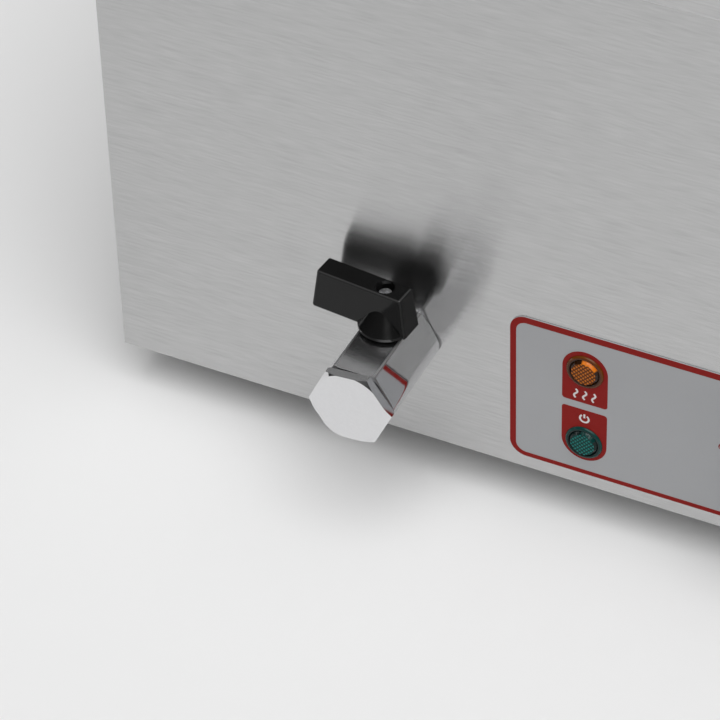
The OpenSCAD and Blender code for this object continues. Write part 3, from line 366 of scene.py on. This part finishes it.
def brushed_steel(name, axis, roughness, **constants):
    """Steel with fine scratches along one axis: noise drawn out along it, in colour, gloss and relief."""
    finish = Finish(name, **constants)
    scratch_cells = [1500.0] * 3
    scratch_cells[axis] = 90.0
    band_cells = [420.0] * 3
    band_cells[axis] = 20.0
    scratches = finish.streaks(scratch_cells, 3.0)
    bands = finish.streaks(band_cells, 2.0)
    cloud = finish.noise(5.0)
    grain = 0.65 * scratches + 0.2 * bands + 0.15 * cloud
    finish.set("Base Color", finish.tones(grain, colours().steel, spread=0.32))
    finish.set("Roughness", roughness + GLOSS_SWING * (grain - 0.5))
    finish.bump(scratches, 0.006 * MM)
    return finish.material


def upright_steel(name, axis):
    """Brushed steel on an upright sheet, whose level scratches blur what it mirrors up and down."""
    return brushed_steel(
        name, axis, roughness=0.233, Metallic=1.0, Anisotropic=0.88, Anisotropic_Rotation=0.25)


def satin_steel(name):
    """Pressed steel with a faint grain along X and soft cloudy gloss, which scatters part of the light."""
    finish = Finish(name, Metallic=0.6)
    grain = finish.streaks((30.0, 2200.0, 2200.0), 3.0)
    cloud = finish.noise(14.0, 3.0)
    polish = 0.22
    cloud_swing = 0.08
    finish.set("Base Color", finish.tones(0.6 * grain + 0.4 * cloud, colours().bright_steel, spread=0.1))
    finish.set("Roughness", polish + GLOSS_SWING * grain + cloud_swing * cloud)
    finish.bump(grain, 0.003 * MM)
    return finish.material


def chrome_plate(name, bar=None, rim_width=0.0):
    """Polished plating with faint ripples and specks, duller in places on a bar, given as its box, with
    painted light on the bar's top and painted shade on its edges.
    """
    finish = Finish(name, Metallic=1.0)
    ripple = finish.noise(140.0, 2.0)
    speck = finish.noise(900.0, 3.0)
    polish = 0.02
    speck_swing = 0.06
    plating = finish.tones(speck, colours().chrome, spread=0.04)
    roughness = polish + speck_swing * speck
    if bar:
        plating, roughness = machined(finish, plating, roughness, bar, rim_width)
    finish.set("Base Color", plating)
    finish.set("Roughness", roughness)
    finish.bump(ripple, 0.05 * MM, strength=0.2)
    return finish.material


def machined(finish, plating, roughness, bar, rim_width):
    """Colour and roughness of a six-sided plated bar, dull on its top, its edges and a rim at its front,
    with painted light on its top and painted shade on its edges and rim.

    The top is where the surface's own normal points up, and the rim, if it has a width, is on other faces.
    The edges are where the distance from the axis nears that of the corners of a level hexagon in the box.
    """
    low, high = bar
    top_cosine = 0.9
    painted_top_light = 1.35
    top_roughness = 0.09
    grain_roughness = 0.12
    painted_edge_shade = 0.45
    edge_roughness = 0.3
    edge_start = 0.35 * MM
    edge_full = 0.15 * MM
    chrome = colours().chrome
    top = finish.vector("DOT_PRODUCT", finish.normals, UP) > top_cosine
    grain = finish.streaks((260.0, 2400.0, 800.0), 3.0)
    corner = (high.z - low.z) / 2 / math.cos(math.radians(30))
    reach = finish.vector("LENGTH", finish.from_axis(low, high))
    edge = finish.ramp(reach, corner - edge_start, corner - edge_full)
    if rim_width:
        rim = finish.vector("DOT_PRODUCT", finish.places, BACK) < low.y + rim_width
        edge = edge.math("MAXIMUM", edge, rim * (1 - top))
    # Painted light makes the top lighter than the chrome; painted shade makes the edges and the front rim
    # darker.
    plating = finish.mix(top, plating, tone(chrome, painted_top_light))
    plating = finish.mix(edge, plating, tone(chrome, painted_edge_shade))
    dull_top = top * (top_roughness + grain_roughness * grain)
    return plating, roughness + dull_top + edge_roughness * edge


def moulded_black(name, roughness, relief, painted_highlight_above=None):
    """Black plastic with the fine texture of its mould, and with a painted highlight if a height for it is
    given.

    Above that height the rounded edges are painted a lighter grey as a highlight, where the normal leans
    well away from up and level.
    The end whose normal points to the right is matt, with no painted highlight.
    """
    finish = Finish(name, IOR=1.48, Specular_IOR_Level=0.24)
    spark = finish.noise(2600.0, 2.0)
    cloud = finish.noise(60.0, 3.0)
    cloud_swing = 0.06
    dark_tone, light_tone = 0.8, 1.6
    black = colours().black
    plastic = finish.mix(cloud, tone(black, dark_tone), tone(black, light_tone))
    if painted_highlight_above is not None:
        matt = 0.45
        end = finish.facing(RIGHT, 0.55, 0.8)
        leaning = finish.facing(UP, 0.3, 0.55) * (1 - finish.facing(UP, 0.8, 0.92))
        above = finish.vector("DOT_PRODUCT", finish.places, UP) > painted_highlight_above
        # Painted highlight: the rounded edges above that height are lighter grey, except on the right-hand
        # end.
        plastic = finish.mix(above * leaning * (1 - end), plastic, tone(colours().rubbed))
        roughness = roughness + matt * end
    finish.set("Base Color", plastic)
    finish.set("Roughness", roughness + cloud_swing * cloud)
    finish.bump(spark, relief)
    return finish.material


def speckled(name, colour, roughness, spread, relief, scale=700.0, **constants):
    """A finish with even specks in colour, gloss and height, and much larger clouds in colour and gloss."""
    finish = Finish(name, **constants)
    cloud_size = 20
    speck = finish.noise(scale, 3.0)
    cloud = finish.noise(scale / cloud_size, 2.0)
    mottle = 0.5 * speck + 0.5 * cloud
    finish.set("Base Color", finish.tones(mottle, colour, spread))
    finish.set("Roughness", roughness + GLOSS_SWING * (mottle - 0.5))
    finish.bump(speck, relief)
    return finish.material


def zinc_plate(name):
    """The dull plating of small fasteners."""
    return speckled(name, colours().zinc, roughness=0.32, spread=0.12, relief=0.003 * MM, Metallic=1.0)


def printed_film(name, colour, roughness, spread, **constants):
    """Ink or foil on the label and the knob, with a fine tooth."""
    return speckled(name, colour, roughness, spread, relief=0.002 * MM, scale=1500.0, **constants)


def lamp_plastic(name, colour, low, high, painted_arc_light):
    """Clear coloured plastic over a dark barrel: prisms with painted light and shade, a dark skirt with a
    painted highlight arc and a deep ring.

    Tones follow the distance and the turn from the lamp's middle, and the prisms' own two triangle waves.
    The arc ends and is full at the cosines of two angles from its middle.
    """
    props = bpy.context.scene.bain_lamp
    # Painted light on the prisms' peaks and painted shade in their valleys.
    painted_valley_shade, painted_peak_light = 0.4, 2.2
    foot_tone, rim_tone = 0.1, 0.6
    arc_end, arc_full = 0.78, 0.86
    coat = 0.25
    finish = Finish(name, IOR=1.49, Specular_IOR_Level=0.12, Coat_Roughness=0.03, Roughness=0.14)
    flat = finish.from_axis(low, high)
    radius = finish.vector("LENGTH", flat)
    slant = math.sqrt(0.5) / props.prism_pitch
    slopes = [finish.vector("DOT_PRODUCT", flat, (slant, 0.0, side * slant)) for side in (1, -1)]
    first, second = (1 - 2 * slope.math("PINGPONG", slope, 0.5) for slope in slopes)
    peak = finish.ramp(first.math("MINIMUM", first, second), 0.2, 0.6)
    prisms = finish.mix(peak, tone(colour, painted_valley_shade), tone(colour, painted_peak_light))
    skirt_end = props.lens_radius + props.skirt
    rim = finish.ramp(radius, skirt_end, (high.x - low.x) / 2)
    ring = finish.mix(rim, tone(colour, foot_tone), tone(colour, rim_tone))
    # Painted highlight: an arc of the skirt, at a fixed turn, lighter than the plastic's colour.
    arc_way = (math.cos(props.arc_turn), 0.0, math.sin(props.arc_turn))
    turn = finish.vector("DOT_PRODUCT", finish.vector("NORMALIZE", flat), arc_way)
    arc = finish.ramp(turn, arc_end, arc_full) * (radius < skirt_end + props.arc_spill)
    ring = finish.mix(arc, ring, tone(colour, painted_arc_light))
    lens = radius < props.lens_radius + 2 * HAIR
    finish.set("Base Color", finish.mix(lens, ring, prisms))
    finish.set("Coat Weight", coat * (1 - lens))
    return finish.material


# Shapes


def grid_faces(rows, columns, wrap_rows=False, wrap_columns=False):
    """Quads between neighbouring points of a grid, joined end to start where wrap is set."""
    row = np.arange(rows if wrap_rows else rows - 1)
    column = np.arange(columns if wrap_columns else columns - 1)
    low_row, low_column = (part.ravel() for part in np.meshgrid(row, column, indexing="ij"))
    high_row = (low_row + 1) % rows
    high_column = (low_column + 1) % columns
    corners = (low_row * columns + low_column, low_row * columns + high_column,
               high_row * columns + high_column, high_row * columns + low_column)
    return np.stack(corners, axis=1).tolist()


def tube_faces(rows, columns):
    """Quads of a grid that is wrapped round its columns, and one face over each of its open ends."""
    first = np.arange(columns)
    last = first + (rows - 1) * columns
    return grid_faces(rows, columns, wrap_columns=True) + [first[::-1].tolist(), last.tolist()]


def signed_volume(points, faces):
    """Sum of the tetrahedra from the origin to each face's fan of triangles."""
    total = 0.0
    sizes = {len(face) for face in faces}
    for size in sizes:
        ring = points[np.array([face for face in faces if len(face) == size])]
        for corner in range(1, size - 1):
            across = np.cross(ring[:, corner], ring[:, corner + 1])
            total += np.einsum("ij,ij->i", ring[:, 0], across).sum()
    return total / 6


def make_piece(name, parts, material, body, smooth_angle=30.0):
    """One object from closed parts, each points and faces, turned so that their faces point outwards."""
    all_points = []
    all_faces = []
    count = 0
    for points, faces in parts:
        points = np.asarray(points, float).reshape(-1, 3)
        if signed_volume(points - points.mean(axis=0), faces) < 0:
            faces = [face[::-1] for face in faces]
        all_points.append(points)
        all_faces += [[index + count for index in face] for face in faces]
        count += len(points)
    mesh = bpy.data.meshes.new(name)
    mesh.from_pydata(np.concatenate(all_points).tolist(), [], all_faces)
    mesh.validate()
    mesh.shade_smooth()
    mesh.set_sharp_from_angle(angle=math.radians(smooth_angle))
    mesh.materials.append(material)
    piece = bpy.data.objects.new(name, mesh)
    bpy.context.scene.collection.objects.link(piece)
    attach(piece, body)
    return piece


def rounded_loop(half_w, half_h, radii, count):
    """A rectangle with a round arc at each corner, as count points an arc, anticlockwise from the right.

    radii holds the corners' radii in the order upper right, upper left, lower left, lower right.
    """
    turns = np.linspace(0, math.pi / 2, count)
    arcs = []
    for corner, radius in enumerate(radii):
        angle = turns + corner * math.pi / 2
        side_x = 1 if corner in (0, 3) else -1
        side_y = 1 if corner in (0, 1) else -1
        arc_x = side_x * (half_w - radius) + radius * np.cos(angle)
        arc_y = side_y * (half_h - radius) + radius * np.sin(angle)
        arcs.append(np.stack([arc_x, arc_y], axis=1))
    return np.concatenate(arcs)


def on_label(flat, out):
    """Puts flat points, right and up, on the label's face, the given distance out of it."""
    flat = np.asarray(flat, float)
    depth = np.full(flat.shape[:-1], LABEL_LOW.y - out)
    return np.stack([flat[..., 0], depth, flat[..., 1]], axis=-1)


def printed_band(first, second, ink, lift):
    """The four long edges of a flat band of ink between two paths of equal counts, lifted off the label."""
    section = [on_label(first, lift), on_label(second, lift),
               on_label(second, lift + ink), on_label(first, lift + ink)]
    return np.stack(section, axis=1)


def printed_ring(outer, inner, ink):
    """A flat ring of ink between two loops with equal counts: a thin rectangle carried round them."""
    points = printed_band(inner, outer, ink, lift=0.0)
    return points, grid_faces(*points.shape[:2], wrap_rows=True, wrap_columns=True)


def printed_line(path, width, ink, lift=0.0):
    """A line of ink: a thin rectangle carried along a flat path, closed at both ends."""
    path = np.asarray(path, float)
    along = np.gradient(path, axis=0)
    along /= np.linalg.norm(along, axis=1, keepdims=True)
    aside = np.stack([-along[:, 1], along[:, 0]], axis=1) * width / 2
    points = printed_band(path - aside, path + aside, ink, lift)
    return points, tube_faces(*points.shape[:2])


def printed_text(body, middle, height, ink):
    """Figures as a mesh on the label, round a flat point, with the ink's thickness and joined corners."""
    figure_share = 0.72
    curve = bpy.data.curves.new("dial_figures", "FONT")
    curve.body = body
    curve.size = height / figure_share
    curve.extrude = ink / 2
    curve.align_x = "CENTER"
    curve.align_y = "CENTER"
    text = bpy.data.objects.new("dial_figures", curve)
    bpy.context.scene.collection.objects.link(text)
    bpy.context.view_layer.update()
    mesh = bpy.data.meshes.new_from_object(text.evaluated_get(bpy.context.evaluated_depsgraph_get()))
    points = np.zeros(len(mesh.vertices) * 3)
    mesh.vertices.foreach_get("co", points)
    points, joined = np.unique(points.reshape(-1, 3).round(7), axis=0, return_inverse=True)
    faces = [joined.ravel()[list(face.vertices)].tolist() for face in mesh.polygons]
    bpy.data.objects.remove(text)
    bpy.data.curves.remove(curve)
    bpy.data.meshes.remove(mesh)
    placed = on_label(points[:, :2] + np.asarray(middle), ink / 2)
    placed[:, 1] -= points[:, 2]
    return placed, faces


def dress(material, *names):
    """Gives CAD nodes a finish."""
    for name in names:
        mesh = NODES[name].data
        mesh.materials.clear()
        mesh.materials.append(material)


def flat_middle(name):
    """Middle of a node's box, seen from the front: right and up."""
    low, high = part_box(name)
    return np.array([(low.x + high.x) / 2, (low.z + high.z) / 2])


def towards(azimuth, elevation):
    """Unit vector to a place in the sky, by its turn to the right of the front and its angle up."""
    level = math.cos(elevation)
    return Vector((math.sin(azimuth) * level, -math.cos(azimuth) * level, math.sin(elevation)))


# Steps


class CasingOperator(bpy.types.Operator):
    """Finishes the casing's sheets, its feet and its screws"""

    bl_idname = "bain.casing"
    bl_label = "Casing"

    def execute(self, context):
        dress(upright_steel("brushed_steel_ends", axis=0), "front_panel", "rear_panel")
        dress(upright_steel("brushed_steel_sides", axis=1), "left_side_panel", "right_side_panel")
        deck = brushed_steel("brushed_steel_deck", axis=0, roughness=0.31, Metallic=0.6)
        dress(deck, "top_deck", "base_plate")
        rubber = speckled("foot_rubber", colours().rubber, roughness=0.72, spread=0.3, relief=0.02 * MM)
        dress(rubber, "rubber_feet")
        dress(zinc_plate("zinc_plate"), "foot_screws", "foot_nuts", "rear_screws", "base_screws")
        return {"FINISHED"}


class WellOperator(bpy.types.Operator):
    """Finishes the well, the heater in it, the support bars and the fasteners inside"""

    bl_idname = "bain.well"
    bl_label = "Well and heater"

    def execute(self, context):
        dress(satin_steel("satin_steel_well"), "water_tank", "pan_bars", "element_brackets")
        heater = speckled(
            "heater_sheath", colours().sheath, roughness=0.42, spread=0.25, relief=0.006 * MM, Metallic=1.0)
        dress(heater, "heating_element")
        zinc = zinc_plate("zinc_nuts")
        dress(zinc, "element_nuts", "thermostat_bulb", "lamp_nuts", "thermostat_screws", "thermostat_shaft")
        return {"FINISHED"}


class PansOperator(bpy.types.Operator):
    """Presses the three pans as smooth sheet shells"""

    bl_idname = "bain.pans"
    bl_label = "Pans"

    def execute(self, context):
        material = satin_steel("satin_steel_pans")
        for number in PAN_NUMBERS:
            node = f"pan_{number}"
            shell = self.shell(context.scene.bain_pan, node)
            piece = make_piece(f"{node}_shell", [shell], material, node)
            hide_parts(node)
        return {"FINISHED"}

    def shell(self, props, node):
        """Points and faces of a pan: rounded rectangles stacked along the sheet's profile.

        Each step of the profile is an inset from the body's outline, a height and a corner radius.
        The inside goes from the floor's edge up to the rim, and the outside comes back below it.
        """
        corner_points = 8
        low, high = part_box(node)
        half_w = (high.x - low.x) / 2 - props.rim
        half_l = (high.y - low.y) / 2 - props.rim
        inside = self.profile(props, high.z, 0.0)
        outside = self.profile(props, high.z - props.sheet, props.sheet)
        rows = np.concatenate([inside, outside[::-1]])
        loops = [rounded_loop(half_w - inset, half_l - inset, [radius] * 4, corner_points)
                 for inset, _, radius in rows]
        flat = np.stack(loops) + np.array([(low.x + high.x) / 2, (low.y + high.y) / 2])
        heights = np.broadcast_to(rows[:, 1][:, None], flat.shape[:2])
        points = np.concatenate([flat, heights[..., None]], axis=-1)
        return points, tube_faces(*flat.shape[:2])

    @staticmethod
    def profile(props, top, thickness):
        """Inset, height and corner radius from the floor out to the rim's edge, for a skin of the sheet.

        The floor's bend and the lip under the rim are quarter turns, with a straight leaning wall between.
        The outer skin lies the sheet's thickness outside the inner one, and its bend is wider by as much.
        """
        bend_points = 9
        bend = props.floor_bend + thickness
        quarter = np.linspace(0, math.pi / 2, bend_points)
        floor_rows = np.stack([
            props.taper - thickness + bend * (1 - np.sin(quarter)),
            top - props.depth + bend * (1 - np.cos(quarter)),
            np.full_like(quarter, props.floor_corner)], axis=1)
        lip_rows = np.stack([
            -thickness - props.lip * (1 - np.cos(quarter)),
            top - props.lip * (1 - np.sin(quarter)),
            np.full_like(quarter, props.corner)], axis=1)
        edge_row = [[-props.rim, top, props.rim_corner]]
        return np.concatenate([floor_rows, lip_rows, edge_row])


class LidsOperator(bpy.types.Operator):
    """Finishes the lids, their hinge pins and their handles"""

    bl_idname = "bain.lids"
    bl_label = "Lids"

    def execute(self, context):
        sheets = satin_steel("satin_steel_lids")
        bright = chrome_plate("chrome_handles")
        pin = speckled(
            "pin_steel", colours().pin, roughness=0.25, spread=0.1, relief=0.002 * MM, Metallic=1.0)
        for number in PAN_NUMBERS:
            dress(sheets, f"lid_base_{number}", f"lid_flap_{number}")
            dress(bright, f"lid_handle_{number}")
            dress(pin, f"lid_pin_{number}")
        return {"FINISHED"}


class TapOperator(bpy.types.Operator):
    """Finishes the drain tap, its lever and the drain behind it"""

    bl_idname = "bain.tap"
    bl_label = "Drain tap"

    def execute(self, context):
        palette = colours()
        dress(chrome_plate("chrome_tap_body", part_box("valve_body"), rim_width=0.9 * MM), "valve_body")
        dress(chrome_plate("chrome_plug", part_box("end_plug")), "end_plug")
        dress(chrome_plate("chrome_ball"), "valve_ball")
        # The screw's strong speckle in colour is partly its plating's mottle and partly painted glints.
        screw = speckled(
            "screw_plate", palette.screw, roughness=0.34, spread=0.9, relief=0.12 * MM, scale=1400.0,
            Metallic=1.0)
        dress(screw, "lever_screw")
        _, lever_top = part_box("tap_lever")
        # The lever's edges get the painted highlight down to this depth below its top.
        painted_highlight_depth = 1.2 * MM
        lever = moulded_black(
            "lever_plastic", roughness=0.08, relief=0.0005 * MM, painted_highlight_above=lever_top.z - painted_highlight_depth)
        dress(lever, "tap_lever")
        brass = speckled(
            "turned_brass", palette.brass, roughness=0.28, spread=0.12, relief=0.003 * MM, Metallic=1.0)
        dress(brass, "drain_elbow", "drain_nuts", "valve_retainer", "valve_stem")
        seal = speckled("seal_rubber", palette.seal, roughness=0.6, spread=0.3, relief=0.01 * MM)
        dress(seal, "drain_gasket", "stem_seal", "plug_washer")
        seat = speckled("seat_plastic", palette.seat, roughness=0.4, spread=0.04, relief=0.004 * MM)
        dress(seat, "valve_seats")
        return {"FINISHED"}


class LabelOperator(bpy.types.Operator):
    """Prints the control label: border, lamp boxes, signs and the thermostat's dial"""

    bl_idname = "bain.label"
    bl_label = "Control label"

    def execute(self, context):
        props = context.scene.bain_label
        palette = colours()
        foil = printed_film("label_foil", palette.foil, roughness=0.42, spread=0.03, Specular_IOR_Level=0.2)
        dress(foil, "control_label")
        red = printed_film("red_ink", palette.red, roughness=0.42, spread=0.08, Specular_IOR_Level=0.08)
        white = printed_film("white_ink", palette.white, roughness=0.45, spread=0.05)
        make_piece("label_border", [self.border(props)], red, "casing")
        signs = {"heat": self.waves, "power": self.power_ring}
        for lamp, side in (("heat", -1), ("power", 1)):
            middle = flat_middle(f"{lamp}_lamp_lens")
            make_piece(f"{lamp}_box", [self.lamp_box(props, lamp, middle, side)], red, "casing")
            sign = middle + np.array([0.0, side * props.sign_offset])
            make_piece(f"{lamp}_sign", signs[lamp](props, sign), white, "casing")
        make_piece("dial_scale", self.dial(props), red, "casing")
        return {"FINISHED"}

    def border(self, props):
        """The label's outline and the same outline drawn in by the border's width."""
        corner_points = 16
        middle = flat_middle("control_label")
        half_w = (LABEL_HIGH.x - LABEL_LOW.x) / 2
        half_h = (LABEL_HIGH.z - LABEL_LOW.z) / 2
        width = props.border
        outer = rounded_loop(half_w, half_h, [props.corner] * 4, corner_points)
        inner = rounded_loop(half_w - width, half_h - width, [props.corner - width] * 4, corner_points)
        drop = np.array([0.0, props.border_drop])
        return printed_ring(outer + middle, inner + middle - drop, props.ink)

    def lamp_box(self, props, lamp, middle, side):
        """An arch round the lamp and two small corners at the other end, with a round hole for the lamp."""
        corner_points = 24
        low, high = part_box(f"{lamp}_lamp_lens")
        half_h = (props.box_side + props.box_reach) / 2
        arch = props.box_side - HAIR
        small = props.box_corner
        radii = [arch, arch, small, small] if side < 0 else [small, small, arch, arch]
        outline = rounded_loop(props.box_side, half_h, radii, corner_points)
        outline = outline + np.array([0.0, props.box_lift + side * (props.box_reach - props.box_side) / 2])
        hole = (high.x - low.x) / 2 - props.box_overlap
        inner = outline / np.linalg.norm(outline, axis=1, keepdims=True) * hole
        return printed_ring(outline + middle, inner + middle, props.ink)

    def waves(self, props, middle):
        """Three rising sine waves side by side, the sign for heat."""
        wave_points = 33
        rise = np.linspace(-0.5, 0.5, wave_points)
        wave = np.stack([props.wave_sway * np.sin(2 * math.pi * rise), props.sign_height * rise], axis=1)
        paths = [wave + middle + np.array([shift * props.wave_pitch, 0.0]) for shift in (-1, 0, 1)]
        return [printed_line(path, props.sign_line, props.ink, lift=props.ink) for path in paths]

    def power_ring(self, props, middle):
        """An open ring with a bar in its gap, the sign for power."""
        ring_points = 49
        radius = (props.sign_height - props.sign_line) / 2
        start = (math.pi + props.ring_gap) / 2
        turn = np.linspace(start, start + 2 * math.pi - props.ring_gap, ring_points)
        ring = radius * np.stack([np.cos(turn), np.sin(turn)], axis=1)
        bar = radius * np.array([[0.0, props.bar_foot], [0.0, props.bar_head]])
        paths = (ring + middle, bar + middle)
        return [printed_line(path, props.sign_line, props.ink, lift=props.ink) for path in paths]

    def dial(self, props):
        """Ticks clockwise from the top over the knob's travel, with plain numbers at the long ones."""
        centre = flat_middle("thermostat_knob")
        turning = next(joint for joint in frame["joints"] if joint["name"] == "thermostat_turn")
        travel = turning["range_deg"][1]
        start = (KNOB_HIGH.x - KNOB_LOW.x) / 2 + props.dial_gap
        highest_number = 6
        steps = 2 * highest_number
        parts = []
        for step in range(steps + 1):
            angle = math.radians(90 - travel * step / steps)
            way = np.array([math.cos(angle), math.sin(angle)])
            number, is_short = divmod(step, 2)
            end = start + (props.dial_short_tick if is_short else props.dial_tick)
            width = props.dial_fine_line if is_short else props.dial_line
            parts.append(printed_line([centre + start * way, centre + end * way], width, props.ink))
            if not is_short:
                place = centre + (end + props.dial_text_gap) * way
                parts.append(printed_text(str(number), place, props.dial_text, props.ink))
        return parts


class LampsOperator(bpy.types.Operator):
    """Moulds the lamps' prism caps"""

    bl_idname = "bain.lamps"
    bl_label = "Lamps"

    def execute(self, context):
        props = context.scene.bain_lamp
        prism_angle = 50.0
        for lamp, hue in (("heat", "amber"), ("power", "green")):
            node = f"{lamp}_lamp_lens"
            slot = f"{hue}_lens"
            low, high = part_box(node)
            # Tone of the highlight painted on the cap's arc.
            painted_arc_light = getattr(props, f"{hue}_arc")
            material = lamp_plastic(f"{slot}_plastic", getattr(colours(), hue), low, high, painted_arc_light)
            cap = self.cap(props, low, high)
            piece = make_piece(f"{lamp}_lamp_cap", [cap], material, "casing", prism_angle)
            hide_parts(node)
        barrel = moulded_black("lamp_barrel", roughness=0.45, relief=0.004 * MM)
        dress(barrel, "heat_lamp_body", "power_lamp_body")
        return {"FINISHED"}

    def cap(self, props, low, high):
        """A height over radius and angle: a field of pyramids, a sloping skirt and a round-topped ring.

        The pyramids' height is the lesser of two triangle waves that run slantwise across the field.
        The ring falls in a straight line from the skirt's foot to the label, plus half a sine wave.
        """
        field_rings, ring_steps, columns = 48, 17, 240
        first_ring = 0.02
        field = np.linspace(first_ring, 1.0, field_rings) * props.lens_radius
        skirt_end = props.lens_radius + props.skirt
        half_width = ((high.x - low.x) / 2 - skirt_end) / 2
        turn = np.linspace(0, math.pi, ring_steps)
        bead = skirt_end + half_width * (1 - np.cos(turn))
        rise = props.bead_height - props.foot_height / 2
        bead_height = props.foot_height * (1 - turn / math.pi) + rise * np.sin(turn)
        radius = np.concatenate([field, bead])[:, None]
        height = np.concatenate([np.full(field_rings, props.lens_height), bead_height])[:, None]
        angle = np.linspace(0, 2 * math.pi, columns, endpoint=False)
        x = radius * np.cos(angle)
        z = radius * np.sin(angle)
        slopes = (x + z, x - z)
        waves = [np.abs((slope * math.sqrt(0.5) / props.prism_pitch) % 1.0 - 0.5) * 2 for slope in slopes]
        on_field = np.arange(len(radius))[:, None] < field_rings
        out = height + on_field * props.prism_height * np.minimum(*waves)
        middle = (low + high) / 2
        points = np.stack([x + middle.x, LABEL_LOW.y - out, z + middle.z], axis=-1)
        return points, tube_faces(len(radius), columns)


class KnobOperator(bpy.types.Operator):
    """Finishes the thermostat's knob and body and inlays its pointer"""

    bl_idname = "bain.knob"
    bl_label = "Thermostat"

    def execute(self, context):
        props = context.scene.bain_label
        dress(moulded_black("knob_plastic", roughness=0.38, relief=0.006 * MM), "thermostat_knob")
        white = printed_film("pointer_ink", colours().white, roughness=0.45, spread=0.05)
        radius = (KNOB_HIGH.z - KNOB_LOW.z) / 2
        path = radius * np.array([[0.0, props.pointer_start], [0.0, props.pointer_end]])
        grip = LABEL_LOW.y - KNOB_LOW.y
        line = printed_line(path + flat_middle("thermostat_knob"), props.pointer_line, props.ink, lift=grip)
        make_piece("knob_pointer", [line], white, "thermostat_knob")
        case = speckled("thermostat_case", colours().case, roughness=0.5, spread=0.05, relief=0.01 * MM)
        dress(case, "thermostat_body", "terminal_block")
        return {"FINISHED"}


class WiringOperator(bpy.types.Operator):
    """Finishes the wires and the cable gland"""

    bl_idname = "bain.wiring"
    bl_label = "Wiring and gland"

    def execute(self, context):
        wire = speckled("wire_sheath", colours().wire, roughness=0.42, spread=0.1, relief=0.004 * MM)
        dress(wire, "wiring_loom")
        dress(moulded_black("gland_plastic", roughness=0.42, relief=0.006 * MM), "cable_gland", "gland_nut")
        return {"FINISHED"}


class StageOperator(bpy.types.Operator):
    """Sets the pale floor, the soft light and the camera"""

    bl_idname = "bain.stage"
    bl_label = "Stage"

    def execute(self, context):
        props = context.scene.bain_stage
        self.floor(context, props)
        self.light(context, props)
        self.camera(context, props)
        context.scene.view_settings.view_transform = "Standard"
        return {"FINISHED"}

    def floor(self, context, props):
        """A wide square, as a grid of two by two points."""
        half = props.floor_size / 2
        side = np.array([-half, half])
        x, y = np.meshgrid(side, side, indexing="ij")
        points = np.stack([x, y, np.zeros_like(x)], axis=-1).reshape(-1, 3)
        paper = speckled(
            "floor_paper", colours().floor, roughness=0.7, spread=0.006, relief=0.01 * MM, scale=60.0)
        mesh = bpy.data.meshes.new("studio_floor")
        mesh.from_pydata(points.tolist(), [], [[0, 2, 3, 1]])
        mesh.materials.append(paper)
        floor = bpy.data.objects.new("studio_floor", mesh)
        context.scene.collection.objects.link(floor)

    def light(self, context, props):
        """A sky that grows with the height's sine, and a round glow with a soft edge between two angles."""
        world = bpy.data.worlds.new("studio")
        world.use_nodes = True
        graph = Graph(world.node_tree)
        direction = graph.node("ShaderNodeTexCoord", {}, {}).outputs["Generated"]
        middle = towards(props.glow_azimuth, props.glow_elevation)
        cosine = graph.vector("DOT_PRODUCT", direction, tuple(middle))
        glow = graph.ramp(cosine, math.cos(props.glow_edge), math.cos(props.glow_core))
        height = graph.vector("DOT_PRODUCT", direction, UP)
        overhead = height.math("MAXIMUM", height, 0.0)
        background = graph.nodes["Background"]
        background.inputs["Color"].default_value = (1.0, 1.0, 1.0, 1.0)
        graph.feed(background.inputs["Strength"], props.sky * overhead + props.glow * glow)
        context.scene.world = world

    def camera(self, context, props):
        """A long lens looking down at the tap from the right."""
        panel_low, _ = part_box("front_panel")
        aim = panel_low + Vector((props.aim_right, 0.0, props.aim_up))
        back = towards(props.azimuth, props.elevation)
        right = Vector((math.cos(props.azimuth), math.sin(props.azimuth), 0.0))
        up = back.cross(right)
        across = math.cos(props.roll) * right + math.sin(props.roll) * up
        upward = math.cos(props.roll) * up - math.sin(props.roll) * right
        data = bpy.data.cameras.new("camera")
        data.sensor_width = props.sensor
        data.lens = props.lens
        camera = bpy.data.objects.new("camera", data)
        place = Matrix((across, upward, back)).transposed().to_4x4()
        place.translation = aim + props.distance * back
        camera.matrix_world = place
        context.scene.collection.objects.link(camera)
        context.scene.camera = camera


GROUPS = {"bain_label": LabelProperties, "bain_lamp": LampProperties, "bain_pan": PanProperties,
          "bain_finish": FinishProperties, "bain_stage": StageProperties}
OPERATORS = (CasingOperator, WellOperator, PansOperator, LidsOperator, TapOperator, LabelOperator,
             LampsOperator, KnobOperator, WiringOperator, StageOperator)


class BainPanel(bpy.types.Panel):
    """Lists the steps and the sizes in the sidebar"""

    bl_idname = "VIEW3D_PT_bain"
    bl_label = "Bain-marie"
    bl_space_type = "VIEW_3D"
    bl_region_type = "UI"
    bl_category = "Bain-marie"

    def draw(self, context):
        for operator in OPERATORS:
            self.layout.operator(operator.bl_idname)
        for name in GROUPS:
            group = getattr(context.scene, name)
            for key in group.bl_rna.properties.keys():
                if key not in ("rna_type", "name"):
                    self.layout.prop(group, key)


def register():
    """Adds the sizes to the scene, and the steps and the panel to Blender."""
    for name, group in GROUPS.items():
        bpy.utils.register_class(group)
        setattr(bpy.types.Scene, name, bpy.props.PointerProperty(type=group))
    for kind in (*OPERATORS, BainPanel):
        bpy.utils.register_class(kind)


def unregister():
    """Takes away what register added."""
    for kind in (BainPanel, *reversed(OPERATORS)):
        bpy.utils.unregister_class(kind)
    for name, group in GROUPS.items():
        delattr(bpy.types.Scene, name)
        bpy.utils.unregister_class(group)


def main():
    """Runs every step in order."""
    register()
    for operator in OPERATORS:
        family, step = operator.bl_idname.split(".")
        getattr(getattr(bpy.ops, family), step)()


if __name__ == "__main__":
    main()
